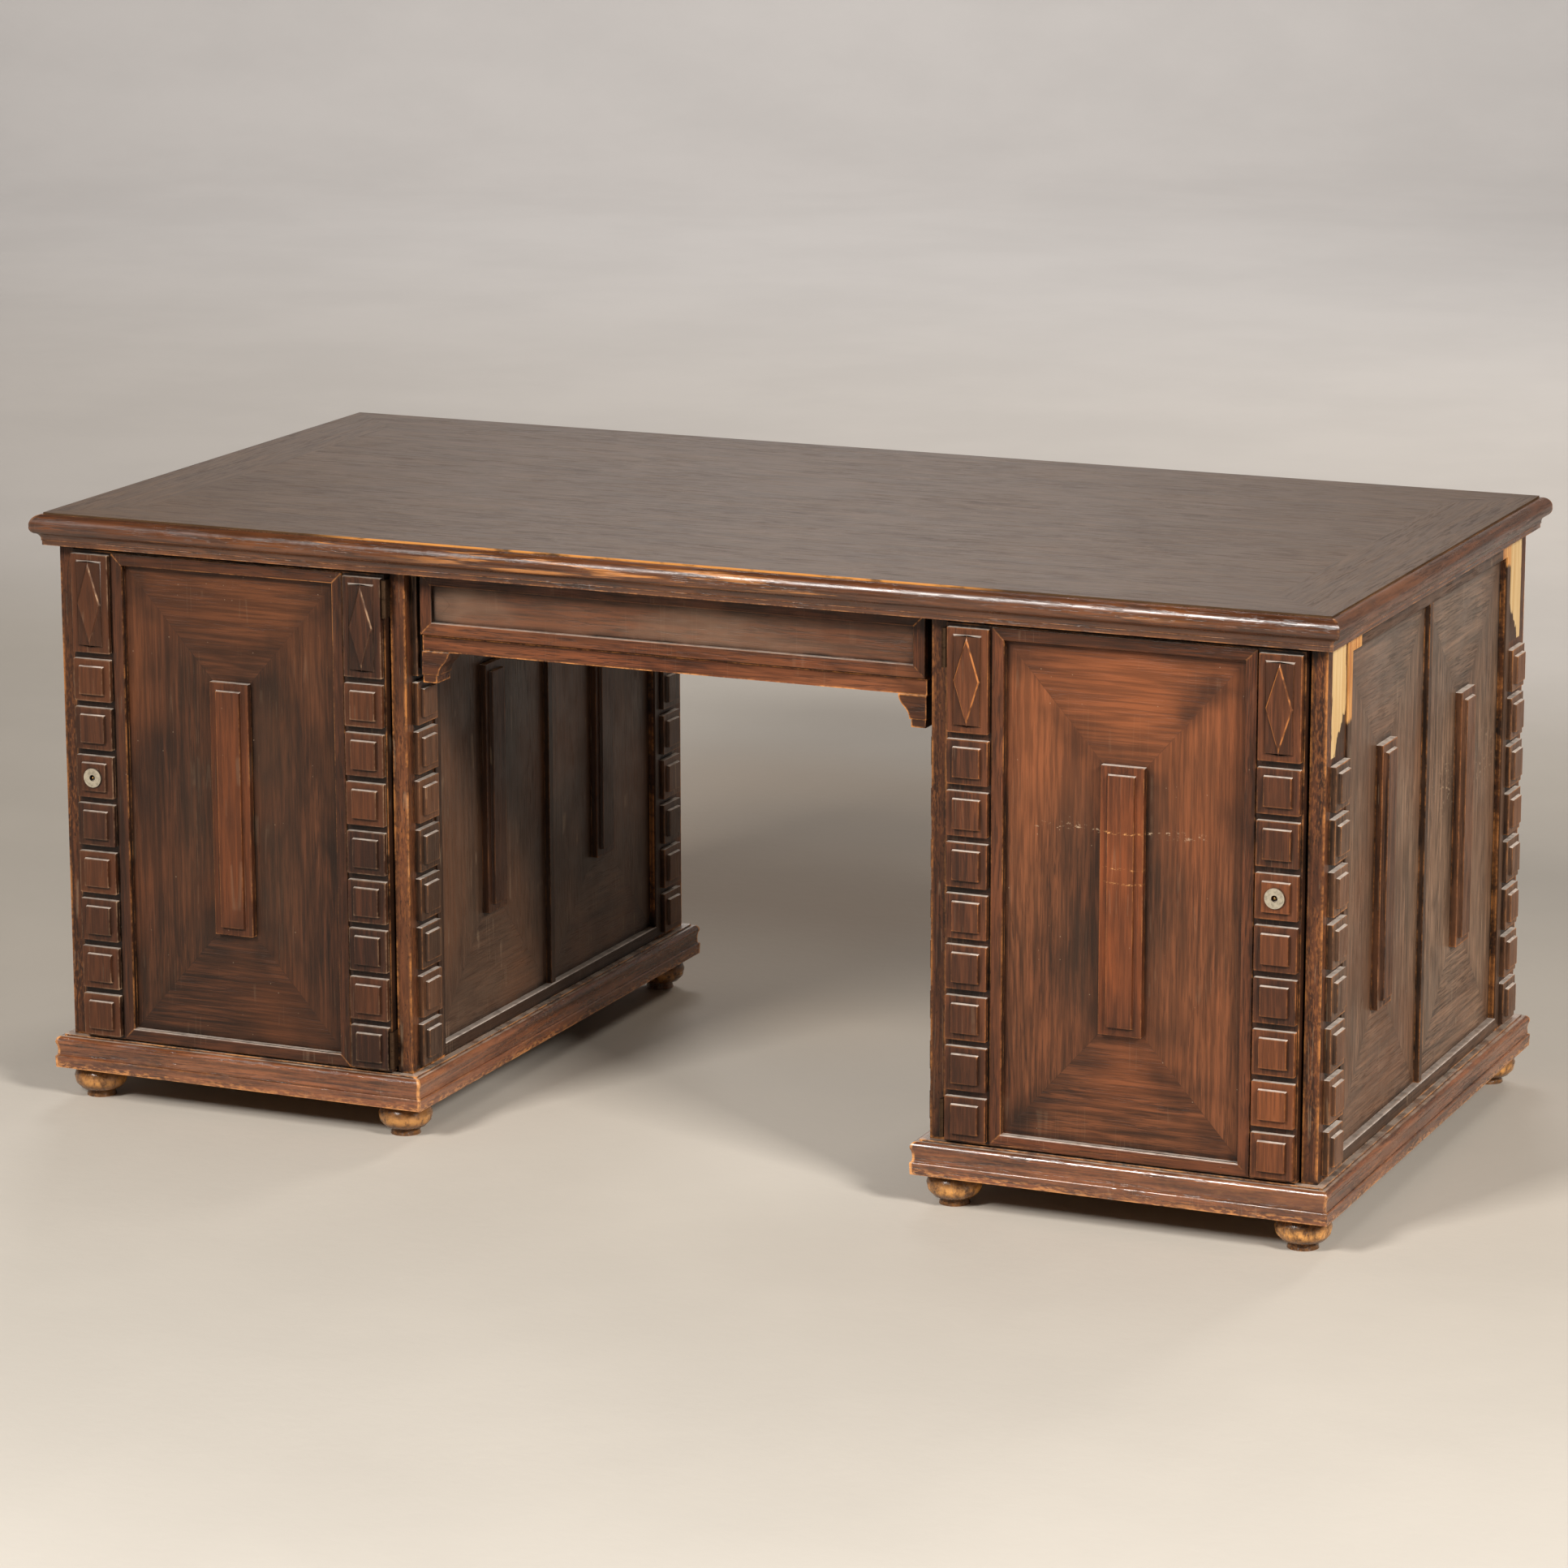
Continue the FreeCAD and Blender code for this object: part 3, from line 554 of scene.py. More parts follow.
@dataclass(frozen=True)
class OakWear:
    """How dirt with painted shade, wear, scratches, and dust with painted top light lie on all the oak."""

    dirt_and_shade: Figure = Figure(16.0, Step(0.3, 0.7, 0.4, 1.2), 3.0, 0.6)
    corner: Step = Step(0.05, 0.48)
    mitre: Figure = Figure((14, 14, 14), Step(0.34, 0.68), shift=(4, 1, 2))
    mitre_line: Step = Step(0.0, 0.0008, 0.4, 0.0)
    rubs: Figure = Figure(23.0, None, 4.0, 0.65)
    rub_share: float = 0.75
    bites: Figure = Figure(210.0, None, 2.0, 0.6)
    bite_share: float = 0.3
    edge: Step = Step(0.1, 0.5)
    odds: Step = Step(0.42, 0.72)
    lit_right_side: Step = Step(0.2, 0.6)
    scratches: tuple[Scratches, Scratches] = (Scratches(0.5, 0.56, 2.0), Scratches(-0.9, 0.58, 7.0))
    scratch: Colour = stain(188, 160, 130)
    speck: Colour = stain(206, 180, 150)
    speck_fineness: float = 75.0
    speck_share: float = 0.3
    speck_size: Step = Step(0.03, 0.07, 1.0, 0.0)
    dust_and_top_light: Colour = stain(218, 202, 188)
    dust_and_light_slope: Step = Step(0.3, 0.65)
    dust_and_light_patches: Figure = Figure(90.0, Step(0.3, 0.6, 0.6, 1.0), 3.0)


@dataclass(frozen=True)
class OakPolish:
    """How the polish of all the oak shines and lies."""

    smears: Figure = Figure(11.0, Step(0.3, 0.7), 3.0, 0.6)
    rubbed_duller: float = 0.18
    pores_duller: float = 0.1
    waves: Figure = Figure(38.0)
    pore_depth: float = 0.00012


FIGURE = OakFigure()
WEAR = OakWear()
POLISH = OakPolish()

PORE = stain(34, 22, 16)


@dataclass(frozen=True)
class Oak:
    """Stained oak: its colours, its pores, how it has worn, and its painted shade and highlights."""

    name: str
    lay: Lay
    dark: Colour
    middle: Colour
    light: Colour
    worn: Colour = stain(186, 122, 68)
    grime_and_shade: Colour = stain(26, 17, 12)
    pore: Colour = PORE
    shadow: Colour = stain(42, 21, 10)
    roughness: float = 0.38
    pores: float = 0.6
    wear: float = 1.0
    wear_reach: float = 0.003
    # How much and how far the corners darken: real dirt and painted shade.
    dirt_and_shade: float = 0.8
    dirt_and_shade_reach: float = 0.03
    seam: float = 0.0
    seam_reach: float = 0.02
    patchy: float = 0.5
    smoke: float = 0.5
    scratched: float = 0.2
    dust_and_top_light: float = 0.0
    right_edge_highlight: float = 0.0
    sheen: float = 0.28
    smear: float = 0.08
    uneven: float = 0.0004
    kneehole: float = 0.0
    specked: float = 0.0
    under: Marks = ()
    over: Marks = ()

    def boards(self, sheet: Sheet) -> tuple[Socket, Socket, Socket | None]:
        """The stained wood before any wear, with painted shade on the walls of the kneehole.

        Args:
            sheet: The material.

        Returns:
            The colour, the pores from 0 to 1, and the distance from a mitre if there is one.
        """
        place, seam = sheet.grain(self.lay)
        colour = sheet.colour(sheet.noise(FIGURE.streaks, place), self.dark, self.middle)
        colour = sheet.colour(sheet.times(sheet.noise(FIGURE.clouds, place), self.patchy), colour, self.light)
        ring = sheet.math("PINGPONG", sheet.times(sheet.noise(FIGURE.rings, place), FIGURE.ring_count), 1.0)
        colour = sheet.colour(sheet.step(ring, FIGURE.ring_line), colour, self.dark)
        colour = sheet.colour(sheet.noise(FIGURE.smoke.between(0.0, self.smoke), place), colour, self.dark)
        pores = sheet.times(sheet.noise(FIGURE.pores, place), sheet.noise(FIGURE.pore_patches, place))
        colour = sheet.colour(sheet.times(pores, self.pores), colour, self.pore)
        # Painted shade: the walls of the kneehole are darkened towards the shadow colour.
        if self.kneehole:
            inner = sheet.step(sheet.folded(DESK_LENGTH), KNEEHOLE_WALL.between(self.kneehole, 0.0))
            colour = sheet.colour(inner, colour, self.shadow)
        return colour, pores, seam

    def grimed_and_shaded(self, sheet: Sheet, colour: Socket, seam: Socket | None) -> Socket:
        """Old wax and dirt in the corners and along the mitres, with painted shade in the corners and
        grooves.

        Args:
            sheet: The material.
            colour: The wood's colour.
            seam: The distance from a mitre, if there is one.

        Returns:
            The colour with the dirt on it.
        """
        loose = sheet.noise(WEAR.dirt_and_shade)
        # Painted shade: the grime colour darkens wherever other surfaces are near, such as corners, gaps
        # between bosses and under the moulding, together with real dirt.
        near = sheet.step(sheet.hollow(self.dirt_and_shade_reach), WEAR.corner)
        share = sheet.math("MULTIPLY", sheet.times(near, loose), self.dirt_and_shade, clamp=True)
        colour = sheet.colour(share, colour, self.grime_and_shade)
        if seam is None or not self.seam:
            return colour
        beside = sheet.step(seam, Step(0.0, self.seam_reach, 1.0, 0.0))
        wide = sheet.times(beside, sheet.noise(WEAR.mitre), loose, self.seam)
        fine = sheet.step(seam, WEAR.mitre_line)
        return sheet.colour(sheet.math("MAXIMUM", wide, fine, clamp=True), colour, self.grime_and_shade)

    def rubbed(self, sheet: Sheet, colour: Socket) -> tuple[Socket, Value]:
        """The sharp edges, rubbed through to the bare wood here and there; edges that face right show more of
        it as painted highlight, and the kneehole walls less as painted shade.

        Args:
            sheet: The material.
            colour: The colour so far.

        Returns:
            The colour, and how far it is rubbed, from 0 to 1.
        """
        if not self.wear:
            return colour, 0.0
        rubs = sheet.times(sheet.noise(WEAR.rubs), WEAR.rub_share)
        odds = sheet.math("ADD", rubs, sheet.times(sheet.noise(WEAR.bites), WEAR.bite_share))
        edge = sheet.step(sheet.hollow(self.wear_reach, inside=True), WEAR.edge)
        share = sheet.times(edge, sheet.step(odds, WEAR.odds))
        share = sheet.math("MULTIPLY", share, self.wear, clamp=True)
        # Painted shade: the bright worn edges are kept down on the kneehole walls.
        if self.kneehole:
            outer = KNEEHOLE_WALL.between(1.0 - self.kneehole, 1.0)
            share = sheet.times(share, sheet.step(sheet.folded(DESK_LENGTH), outer))
        # Painted highlight: the worn colour is stronger on edges that face right, towards the right lamp.
        if self.right_edge_highlight:
            side = sheet.facing_way(Axis.X, WEAR.lit_right_side)
            share = sheet.times(share, sheet.step(side, Step(0.0, 1.0, 1.0 - self.right_edge_highlight, 1.0)))
        return sheet.colour(share, colour, self.worn), share

    def marked(self, sheet: Sheet, colour: Socket) -> Socket:
        """Scratches, specks, and on what faces up pale dust with painted highlight.

        Args:
            sheet: The material.
            colour: The colour so far.

        Returns:
            The marked colour.
        """
        if self.scratched:
            lines = sheet.math("MAXIMUM", *(scratches.marks(sheet) for scratches in WEAR.scratches))
            colour = sheet.colour(sheet.times(lines, self.scratched), colour, WEAR.scratch)
        if self.specked:
            dots = sheet.specks(WEAR.speck_fineness, WEAR.speck_share, WEAR.speck_size)
            colour = sheet.colour(sheet.times(dots, self.specked), colour, WEAR.speck)
        # What faces up is paled: dust, and a painted highlight where light from above falls.
        if self.dust_and_top_light:
            grey = sheet.times(sheet.facing_way(Axis.Z, WEAR.dust_and_light_slope), sheet.noise(WEAR.dust_and_light_patches))
            colour = sheet.colour(sheet.times(grey, self.dust_and_top_light), colour, WEAR.dust_and_top_light)
        return colour

    def polished(self, sheet: Sheet, colour: Socket, pores: Socket, rubbed: Value) -> bpy.types.Material:
        """Joins colour, sheen and relief.

        Args:
            sheet: The material.
            colour: The last colour.
            pores: The pores from 0 to 1.
            rubbed: How far the surface is rubbed through.

        Returns:
            The material.
        """
        rough = sheet.noise(POLISH.smears.between(self.roughness - self.smear, self.roughness + self.smear))
        rough = sheet.math("ADD", rough, sheet.times(rubbed, POLISH.rubbed_duller))
        rough = sheet.math("ADD", rough, sheet.times(pores, POLISH.pores_duller))
        uneven = sheet.times(sheet.noise(POLISH.waves), self.uneven)
        height = sheet.math("SUBTRACT", uneven, sheet.times(pores, POLISH.pore_depth))
        sheet.surface(colour, rough, height, Specular_IOR_Level=self.sheen)
        return sheet.material

    def streaked(self, sheet: Sheet, colour: Socket, place: Socket, share: Value) -> Socket:
        """Fine dark streaks over a toned field.

        Args:
            sheet: The material.
            colour: The colour so far.
            place: The place in the board, with the grain along its Z.
            share: How strongly they show.

        Returns:
            The streaked colour.
        """
        return sheet.colour(sheet.times(sheet.noise(FIGURE.dark_streaks, place), share), colour, self.dark)

    def extras(self, sheet: Sheet, colour: Socket) -> Socket:
        """Marks of one kind of piece alone, under the dirt and the painted shade."""
        return sheet.painted(colour, self.under)

    def last_marks(self, sheet: Sheet, colour: Socket) -> Socket:
        """Marks of one kind of piece alone, over the dirt, the painted shade and the worn edges."""
        return sheet.painted(colour, self.over)

    def material(self) -> bpy.types.Material:
        """Makes the whole finish."""
        sheet = Sheet(self.name)
        colour, pores, seam = self.boards(sheet)
        colour = self.extras(sheet, colour)
        colour = self.grimed_and_shaded(sheet, colour, seam)
        colour, rubbed = self.rubbed(sheet, colour)
        colour = self.marked(sheet, colour)
        colour = self.last_marks(sheet, colour)
        return self.polished(sheet, colour, pores, rubbed)


@dataclass(frozen=True)
class StileOak(Oak):
    """The corner stiles, flecked and pitted, with the seats of two lost plates on the right outer side."""

    under: Marks = (
        (
            Mask((
                Figure((430, 430, 120), Step(0.46, 0.62), 3.0, 0.6, (0, 2, 5)),
                Figure((26, 26, 8), Step(0.36, 0.62), 3.0, 0.6),
            ), share=0.5),
            stain(150, 92, 50),
        ),
        (Mask((Figure((380, 380, 140), Step(0.6, 0.68), shift=(7, 2, 5)),), share=0.6), PORE),
    )
    bare: Colour = stain(240, 206, 150)
    bare_streak: Colour = stain(222, 178, 116)
    fibres: Figure = Figure((260, 260, 9), Step(0.35, 0.7), 3.0)
    glue: Colour = stain(58, 40, 26)
    glue_share: float = 0.85
    plate_edge: float = 0.393
    plate_top: float = 0.738
    plate: Mask = Mask(spans=(RIGHT_OUTER_SIDE, Span(Axis.Z, 0.6012, 0.76, 0.0006)))
    plate_start: Step = Step(0.0, 0.0006)
    plate_end: Step = Step(0.0526, 0.0532, 1.0, 0.0)
    torn: Figure = Figure((60, 110, 22), None, 4.0, 0.6)
    torn_reach: float = 0.028
    bare_width: Step = Step(0.07, 0.142, 0.0535, 0.012)
    bare_start: Step = Step(-0.002, 0.0005)
    bare_end: Step = Step(-0.001, 0.001)

    def last_marks(self, sheet: Sheet, colour: Socket) -> Socket:
        """Pale wood where the plates were, ragged at its lower end and with old glue at its rim.

        Args:
            sheet: The material.
            colour: The colour so far.

        Returns:
            The colour with the bare seats.
        """
        inward = sheet.math("SUBTRACT", self.plate_edge, sheet.folded(DESK_DEPTH))
        drop = sheet.math("SUBTRACT", self.plate_top, sheet.coordinate[Axis.Z])
        ragged = sheet.times(sheet.math("SUBTRACT", sheet.noise(self.torn), 0.5), self.torn_reach)
        slack = sheet.math("ADD", inward, ragged)
        left = sheet.math("SUBTRACT", sheet.step(drop, self.bare_width), slack)
        seat = sheet.times(sheet.step(left, self.bare_end), sheet.step(slack, self.bare_start))
        width = sheet.times(sheet.step(inward, self.plate_start), sheet.step(inward, self.plate_end))
        plate = sheet.mask(self.plate, width)
        pale = sheet.colour(sheet.noise(self.fibres), self.bare, self.bare_streak)
        colour = sheet.colour(sheet.times(plate, self.glue_share), colour, self.glue)
        return sheet.colour(sheet.times(plate, seat), colour, pale)


@dataclass(frozen=True)
class SideStripOak(Oak):
    """The strips round the side panels, split off at the head beside the lost plates."""

    bare: Colour = stain(226, 168, 100)
    bare_streak: Colour = stain(176, 112, 58)
    fibres: Figure = Figure((240, 240, 8), Step(0.35, 0.68), 3.0)
    split: Figure = Figure((70, 90, 16), None, 4.0, 0.6)
    split_reach: float = 0.03
    front: Mask = Mask(spans=(RIGHT_OUTER_SIDE, Span(Axis.Y, -0.34, -0.29)))
    front_split: Step = Step(0.648, 0.656)
    back: Mask = Mask(spans=(RIGHT_OUTER_SIDE, Span(Axis.Y, 0.30, 0.34)))
    back_split: Step = Step(0.716, 0.722)

    def last_marks(self, sheet: Sheet, colour: Socket) -> Socket:
        """Bare orange wood at the head of the front strip, tapering down, and a little on the rear one.

        Args:
            sheet: The material.
            colour: The colour so far.

        Returns:
            The colour with the bare wood.
        """
        ragged = sheet.times(sheet.noise(self.split), self.split_reach)
        height = sheet.math("ADD", sheet.coordinate[Axis.Z], ragged)
        heads = [
            sheet.mask(strip, sheet.step(height, split))
            for strip, split in ((self.front, self.front_split), (self.back, self.back_split))
        ]
        bare = sheet.colour(sheet.noise(self.fibres), self.bare, self.bare_streak)
        return sheet.colour(sheet.math("MAXIMUM", *heads), colour, bare)


@dataclass(frozen=True)
class LeafOak(Oak):
    """The quartered leaves, redder in soft areas; doors have a red head, sides a cool head of painted sheen,
    all a halo.
    """

    red: Colour = stain(142, 78, 48)
    glow: Mask = Mask((Figure((5.5, 5.5, 4.5), Step(0.4, 0.68, 0.0, 0.5), shift=(0.0, 1.3, 0.8)),))
    door_head: Mask = Mask(steps=((Axis.Z, Step(0.58, 0.66, 0.0, 0.4)),))
    streaky: float = 1.0
    cool_sheen: Colour = stain(96, 91, 85)
    side_head_sheen: Mask = Mask(steps=((DESK_LENGTH, KNEEHOLE_WALL), (Axis.Z, Step(0.5, 0.68, 0.0, 0.35))))
    smoky: Colour = stain(52, 37, 27)
    halo: float = 0.7
    halo_height: Mask = Mask(
        (Figure((9, 9, 5), Step(0.36, 0.62, 0.15, 1.0), 3.0, 0.6, (2.2, 0.6, 3.3)),),
        steps=((PANEL_HEIGHT, Step(0.1, 0.25, 1.0, 0.0)),),
    )
    halo_width: Step = Step(0.03, 0.125, 1.0, 0.0)
    middle_line: Fold = PEDESTAL

    def extras(self, sheet: Sheet, colour: Socket) -> Socket:
        """The tones of a leaf, from the large soft areas to the halo round its tablet.

        Args:
            sheet: The material.
            colour: The colour so far.

        Returns:
            The toned colour.
        """
        colour = sheet.painted(colour, ((self.glow, self.red),))
        if self.lay is Lay.DOOR_LEAVES:
            colour = sheet.painted(colour, ((self.door_head, self.red),))
        colour = self.streaked(sheet, colour, sheet.grain(self.lay)[0], self.streaky)
        # Painted sheen: a cool grey over the upper part of the outer sides.
        if self.lay is Lay.SIDE_LEAVES:
            colour = sheet.painted(colour, ((self.side_head_sheen, self.cool_sheen),))
        beside = sheet.step(sheet.folded(self.middle_line), self.halo_width)
        return sheet.colour(sheet.mask(self.halo_height, beside, self.halo), colour, self.smoky)


@dataclass(frozen=True)
class StripOak(Oak):
    """The strips and the tablet of a door; the tablet is the redder one."""

    red: Colour = stain(124, 68, 36)
    tablet: Mask = Mask(steps=(
        (PEDESTAL, Step(0.026, 0.03, 1.0, 0.0)), (PANEL_HEIGHT, Step(0.166, 0.168, 1.0, 0.0)),
    ))
    tones: Mask = Mask(
        (Figure((20, 20, 7), Step(0.3, 0.62, 0.3, 0.9), 3.0),),
        steps=((PANEL_HEIGHT, Step(0.09, 0.166, 1.0, 0.4)),),
    )

    def extras(self, sheet: Sheet, colour: Socket) -> Socket:
        """A warm tone and fine streaks on the tablet.

        Args:
            sheet: The material.
            colour: The colour so far.

        Returns:
            The toned colour.
        """
        tablet = sheet.mask(self.tablet)
        colour = sheet.colour(sheet.mask(self.tones, tablet), colour, self.red)
        return self.streaked(sheet, colour, sheet.place, tablet)


@dataclass(frozen=True)
class EdgeOak(Oak):
    """The moulded edge of the top, rubbed by arms in front of the drawer."""

    bare: Colour = stain(198, 130, 70)
    bare_share: float = 0.85
    nose: tuple[Span, ...] = (Span(Axis.Y, -0.46, -0.438, 0.003), Span(Axis.Z, 0.7545, 0.775, 0.002))
    worst: Span = Span(Axis.X, -0.3, 0.14, 0.1)
    some: Span = Span(Axis.X, -0.75, 0.6, 0.15)
    streaks: Figure = Figure((7, 150, 150), Step(0.5, 0.6), 4.0, 0.62)
    few: Step = Step(0.63, 0.7)

    def last_marks(self, sheet: Sheet, colour: Socket) -> Socket:
        """Long streaks of bare wood on the nose, most of them in front of the drawer.

        Args:
            sheet: The material.
            colour: The colour so far.

        Returns:
            The colour with the streaks.
        """
        masks = (
            Mask((self.streaks,), (*self.nose, self.worst)),
            Mask((replace(self.streaks, step=self.few),), (*self.nose, self.some)),
        )
        share = sheet.math("MAXIMUM", *(sheet.mask(mask) for mask in masks))
        return sheet.colour(sheet.times(share, self.bare_share), colour, self.bare)


@dataclass(frozen=True)
class BossOak(Oak):
    """The bosses and lozenge plates, each cut from its own bit of wood."""

    red: Colour = stain(150, 84, 50)
    glow: float = 0.5
    column: Fold = PEDESTAL
    column_middle: float = 0.196
    pedestal_middle: float = PEDESTAL_MIDDLE
    low: float = 0.08825
    pitch: float = 0.06356
    count: int = 8
    cell_width: float = 0.15
    cell_depth: float = 0.5
    redder: Step = Step(0.35, 1.0, 0.0, 0.4)
    darker: Step = Step(0.0, 0.35, 0.25, 0.0)
    field_half_width: float = 0.018
    field_half_height: float = 0.019
    field_soft: float = 0.0015
    column_soft: float = 0.01
    field_tone: Step = Step(0.1, 0.85, 0.1, 1.0)
    lit_towards_right: Step = Step(-0.1, 0.1, 0.35, 1.0)
    arris_wear_and_highlight: float = 0.7
    upper_right_highlight: bool = False
    rhombus_middle: float = 0.665
    rhombus_half_width: float = 0.0166
    rhombus_half_height: float = 0.0541
    plate_half_width: Step = Step(0.0176, 0.0182, 1.0, 0.0)
    plate_half_height: Step = Step(0.0552, 0.056, 1.0, 0.0)
    wax: Step = Step(0.98, 1.02, 0.0, 0.4)
    arris_inside: Step = Step(0.89, 0.92)
    arris_outside: Step = Step(0.98, 1.0, 1.0, 0.0)
    arris_patches: Figure = Figure(70.0, Step(0.38, 0.6, 0.1, 1.0), 3.0)
    right_half: Step = Step(0.001, 0.003)
    upper_half: Step = Step(-0.004, 0.004)

    def aside(self, sheet: Sheet) -> Socket:
        """The distance from the middle line of a column."""
        return sheet.apart(sheet.folded(self.column), self.column_middle)

    def inner(self, sheet: Sheet) -> Socket:
        """The way to the right from the middle of the pedestal."""
        return sheet.math("SUBTRACT", sheet.coordinate[Axis.X], self.pedestal_middle)

    def block_tone(self, sheet: Sheet, rows: Socket) -> Socket:
        """A number from 0 to 1 for each block.

        Args:
            sheet: The material.
            rows: The height in a column, in blocks.

        Returns:
            The block's number.
        """
        row = sheet.math("MINIMUM", sheet.math("FLOOR", rows), float(self.count))
        across = sheet.math("FLOOR", sheet.math("DIVIDE", sheet.coordinate[Axis.X], self.cell_width))
        depth = sheet.math("FLOOR", sheet.math("DIVIDE", sheet.coordinate[Axis.Y], self.cell_depth))
        pick = sheet.node("ShaderNodeTexWhiteNoise")
        sheet.feed(pick.inputs["Vector"], sheet.joined(across, depth, row))
        return pick.outputs["Value"]

    def raised(self, sheet: Sheet, rows: Socket) -> Socket:
        """Where the raised fields of the bosses are.

        Args:
            sheet: The material.
            rows: The height in a column, in blocks.

        Returns:
            The mask.
        """
        upright = sheet.times(sheet.apart(sheet.math("FRACT", rows), 0.5), self.pitch)
        ends = (
            (self.aside(sheet), self.field_half_width, self.field_soft),
            (upright, self.field_half_height, self.field_soft),
            (rows, float(self.count), self.column_soft),
        )
        return sheet.times(*(sheet.step(value, Step(end - soft, end, 1.0, 0.0)) for value, end, soft in ends))

    def extras(self, sheet: Sheet, colour: Socket) -> Socket:
        """Another tone for each block, and a warmer one in its raised field, fuller towards the right as
        painted light.

        Args:
            sheet: The material.
            colour: The colour so far.

        Returns:
            The toned colour.
        """
        rows = sheet.math("DIVIDE", sheet.math("SUBTRACT", sheet.coordinate[Axis.Z], self.low), self.pitch)
        tone = self.block_tone(sheet, rows)
        colour = sheet.colour(sheet.step(tone, self.redder), colour, self.red)
        colour = sheet.colour(sheet.step(tone, self.darker), colour, self.dark)
        raised = self.raised(sheet, rows)
        # Painted light: the warm field tone is full on the right-hand column and weaker on the left one.
        lit = sheet.step(self.inner(sheet), self.lit_towards_right)
        share = sheet.times(raised, lit, sheet.step(tone, self.field_tone), self.glow)
        colour = sheet.colour(share, colour, self.red)
        return self.streaked(sheet, colour, sheet.place, raised)

    def last_marks(self, sheet: Sheet, colour: Socket) -> Socket:
        """Dark wax round the rhombus of a lozenge plate, and its arris rubbed bright, partly as painted
        highlight.

        Args:
            sheet: The material.
            colour: The colour so far.

        Returns:
            The colour with the rhombus picked out.
        """
        aside = self.aside(sheet)
        above = sheet.math("SUBTRACT", sheet.coordinate[Axis.Z], self.rhombus_middle)
        away = sheet.math("ABSOLUTE", above)
        across = sheet.math("DIVIDE", aside, self.rhombus_half_width)
        reach = sheet.math("ADD", across, sheet.math("DIVIDE", away, self.rhombus_half_height))
        height = sheet.step(away, self.plate_half_height)
        plate = sheet.times(sheet.step(aside, self.plate_half_width), height)
        colour = sheet.colour(sheet.times(plate, sheet.step(reach, self.wax)), colour, self.grime_and_shade)
        # The bright arris is wear and painted highlight; on the left doors only its upper right part shows,
        # as painted highlight.
        arris = sheet.times(sheet.step(reach, self.arris_inside), sheet.step(reach, self.arris_outside))
        share = sheet.times(plate, arris, sheet.noise(self.arris_patches), self.arris_wear_and_highlight)
        if self.upper_right_highlight:
            inner = self.inner(sheet)
            offset = sheet.times(sheet.math("SIGN", inner), self.column_middle)
            right = sheet.step(sheet.math("SUBTRACT", inner, offset), self.right_half)
            share = sheet.times(share, right, sheet.step(above, self.upper_half))
        return sheet.colour(share, colour, self.worn)


@dataclass(frozen=True)
class Metal:
    """Old plated or blackened metal with a little tarnish."""

    name: str
    bright: Colour
    tarnish: Colour
    roughness: float
    spots: Figure = Figure(170.0, Step(0.42, 0.7), 4.0, 0.65)
    spot_share: float = 0.55
    spots_duller: float = 0.22
    corner_reach: float = 0.004
    corner: Step = Step(0.1, 0.7)
    brushing: Figure = Figure((900, 900, 120))
    brush_depth: float = 0.00004

    def material(self) -> bpy.types.Material:
        """Makes the finish."""
        sheet = Sheet(self.name)
        spots = sheet.noise(self.spots)
        near = sheet.step(sheet.hollow(self.corner_reach), self.corner)
        share = sheet.math("MAXIMUM", sheet.times(spots, self.spot_share), near)
        colour = sheet.colour(share, self.bright, self.tarnish)
        rough = sheet.step(spots, Step(0.0, 1.0, self.roughness, self.roughness + self.spots_duller))
        relief = sheet.times(sheet.noise(self.brushing), self.brush_depth)
        sheet.surface(colour, rough, relief, Metallic=1.0)
        return sheet.material


BLACKENED = Metal("blackened_iron", stain(84, 64, 48), stain(42, 30, 22), 0.5)
BRASS = Metal("dull_brass", stain(176, 140, 88), stain(96, 70, 40), 0.34)
NICKEL = Metal("old_nickel", stain(214, 205, 186), stain(128, 116, 96), 0.3)

# Marks of single kinds of pieces: where each shows, and its paint.
SCUFF = stain(196, 168, 138)
SCUFFS = Figure((120, 120, 260), Step(0.58, 0.7), 3.0, 0.7)
SCUFF_SHARE = 0.7
DOOR_SCUFFS: Marks = ((Mask((SCUFFS,), (
    Span(Axis.X, 0.485, 0.705, 0.012), Span(Axis.Y, -0.43, -0.40), Span(Axis.Z, 0.4915, 0.5005, 0.0025),
), share=SCUFF_SHARE), SCUFF),)
SIDE_SCUFFS: Marks = ((Mask((SCUFFS,), (
    Span(Axis.X, 0.84, 0.86), Span(Axis.Y, 0.06, 0.3, 0.05), Span(Axis.Z, 0.43, 0.5, 0.03),
), share=SCUFF_SHARE), SCUFF),)
TABLET_RUBS: Marks = tuple(
    (Mask((Figure((150, 150, 320), Step(0.5, 0.62), 3.0, 0.7),), (
        Span(Axis.X, 0.582, 0.63, 0.004), Span(Axis.Y, -0.44, -0.40), Span(Axis.Z, low, high, 0.0012),
    ), share=0.75), stain(222, 162, 100))
    for low, high in ((0.433, 0.435), (0.451, 0.453), (0.4945, 0.4965))
)
TOP_FRONT_RUB: Marks = ((Mask((Figure((16, 60, 60), Step(0.36, 0.5), 4.0, 0.6),), (
    Span(Axis.X, -0.44, 0.42, 0.05), Span(Axis.Y, -0.44, -0.4306, 0.0004),
)), stain(206, 140, 72)),)
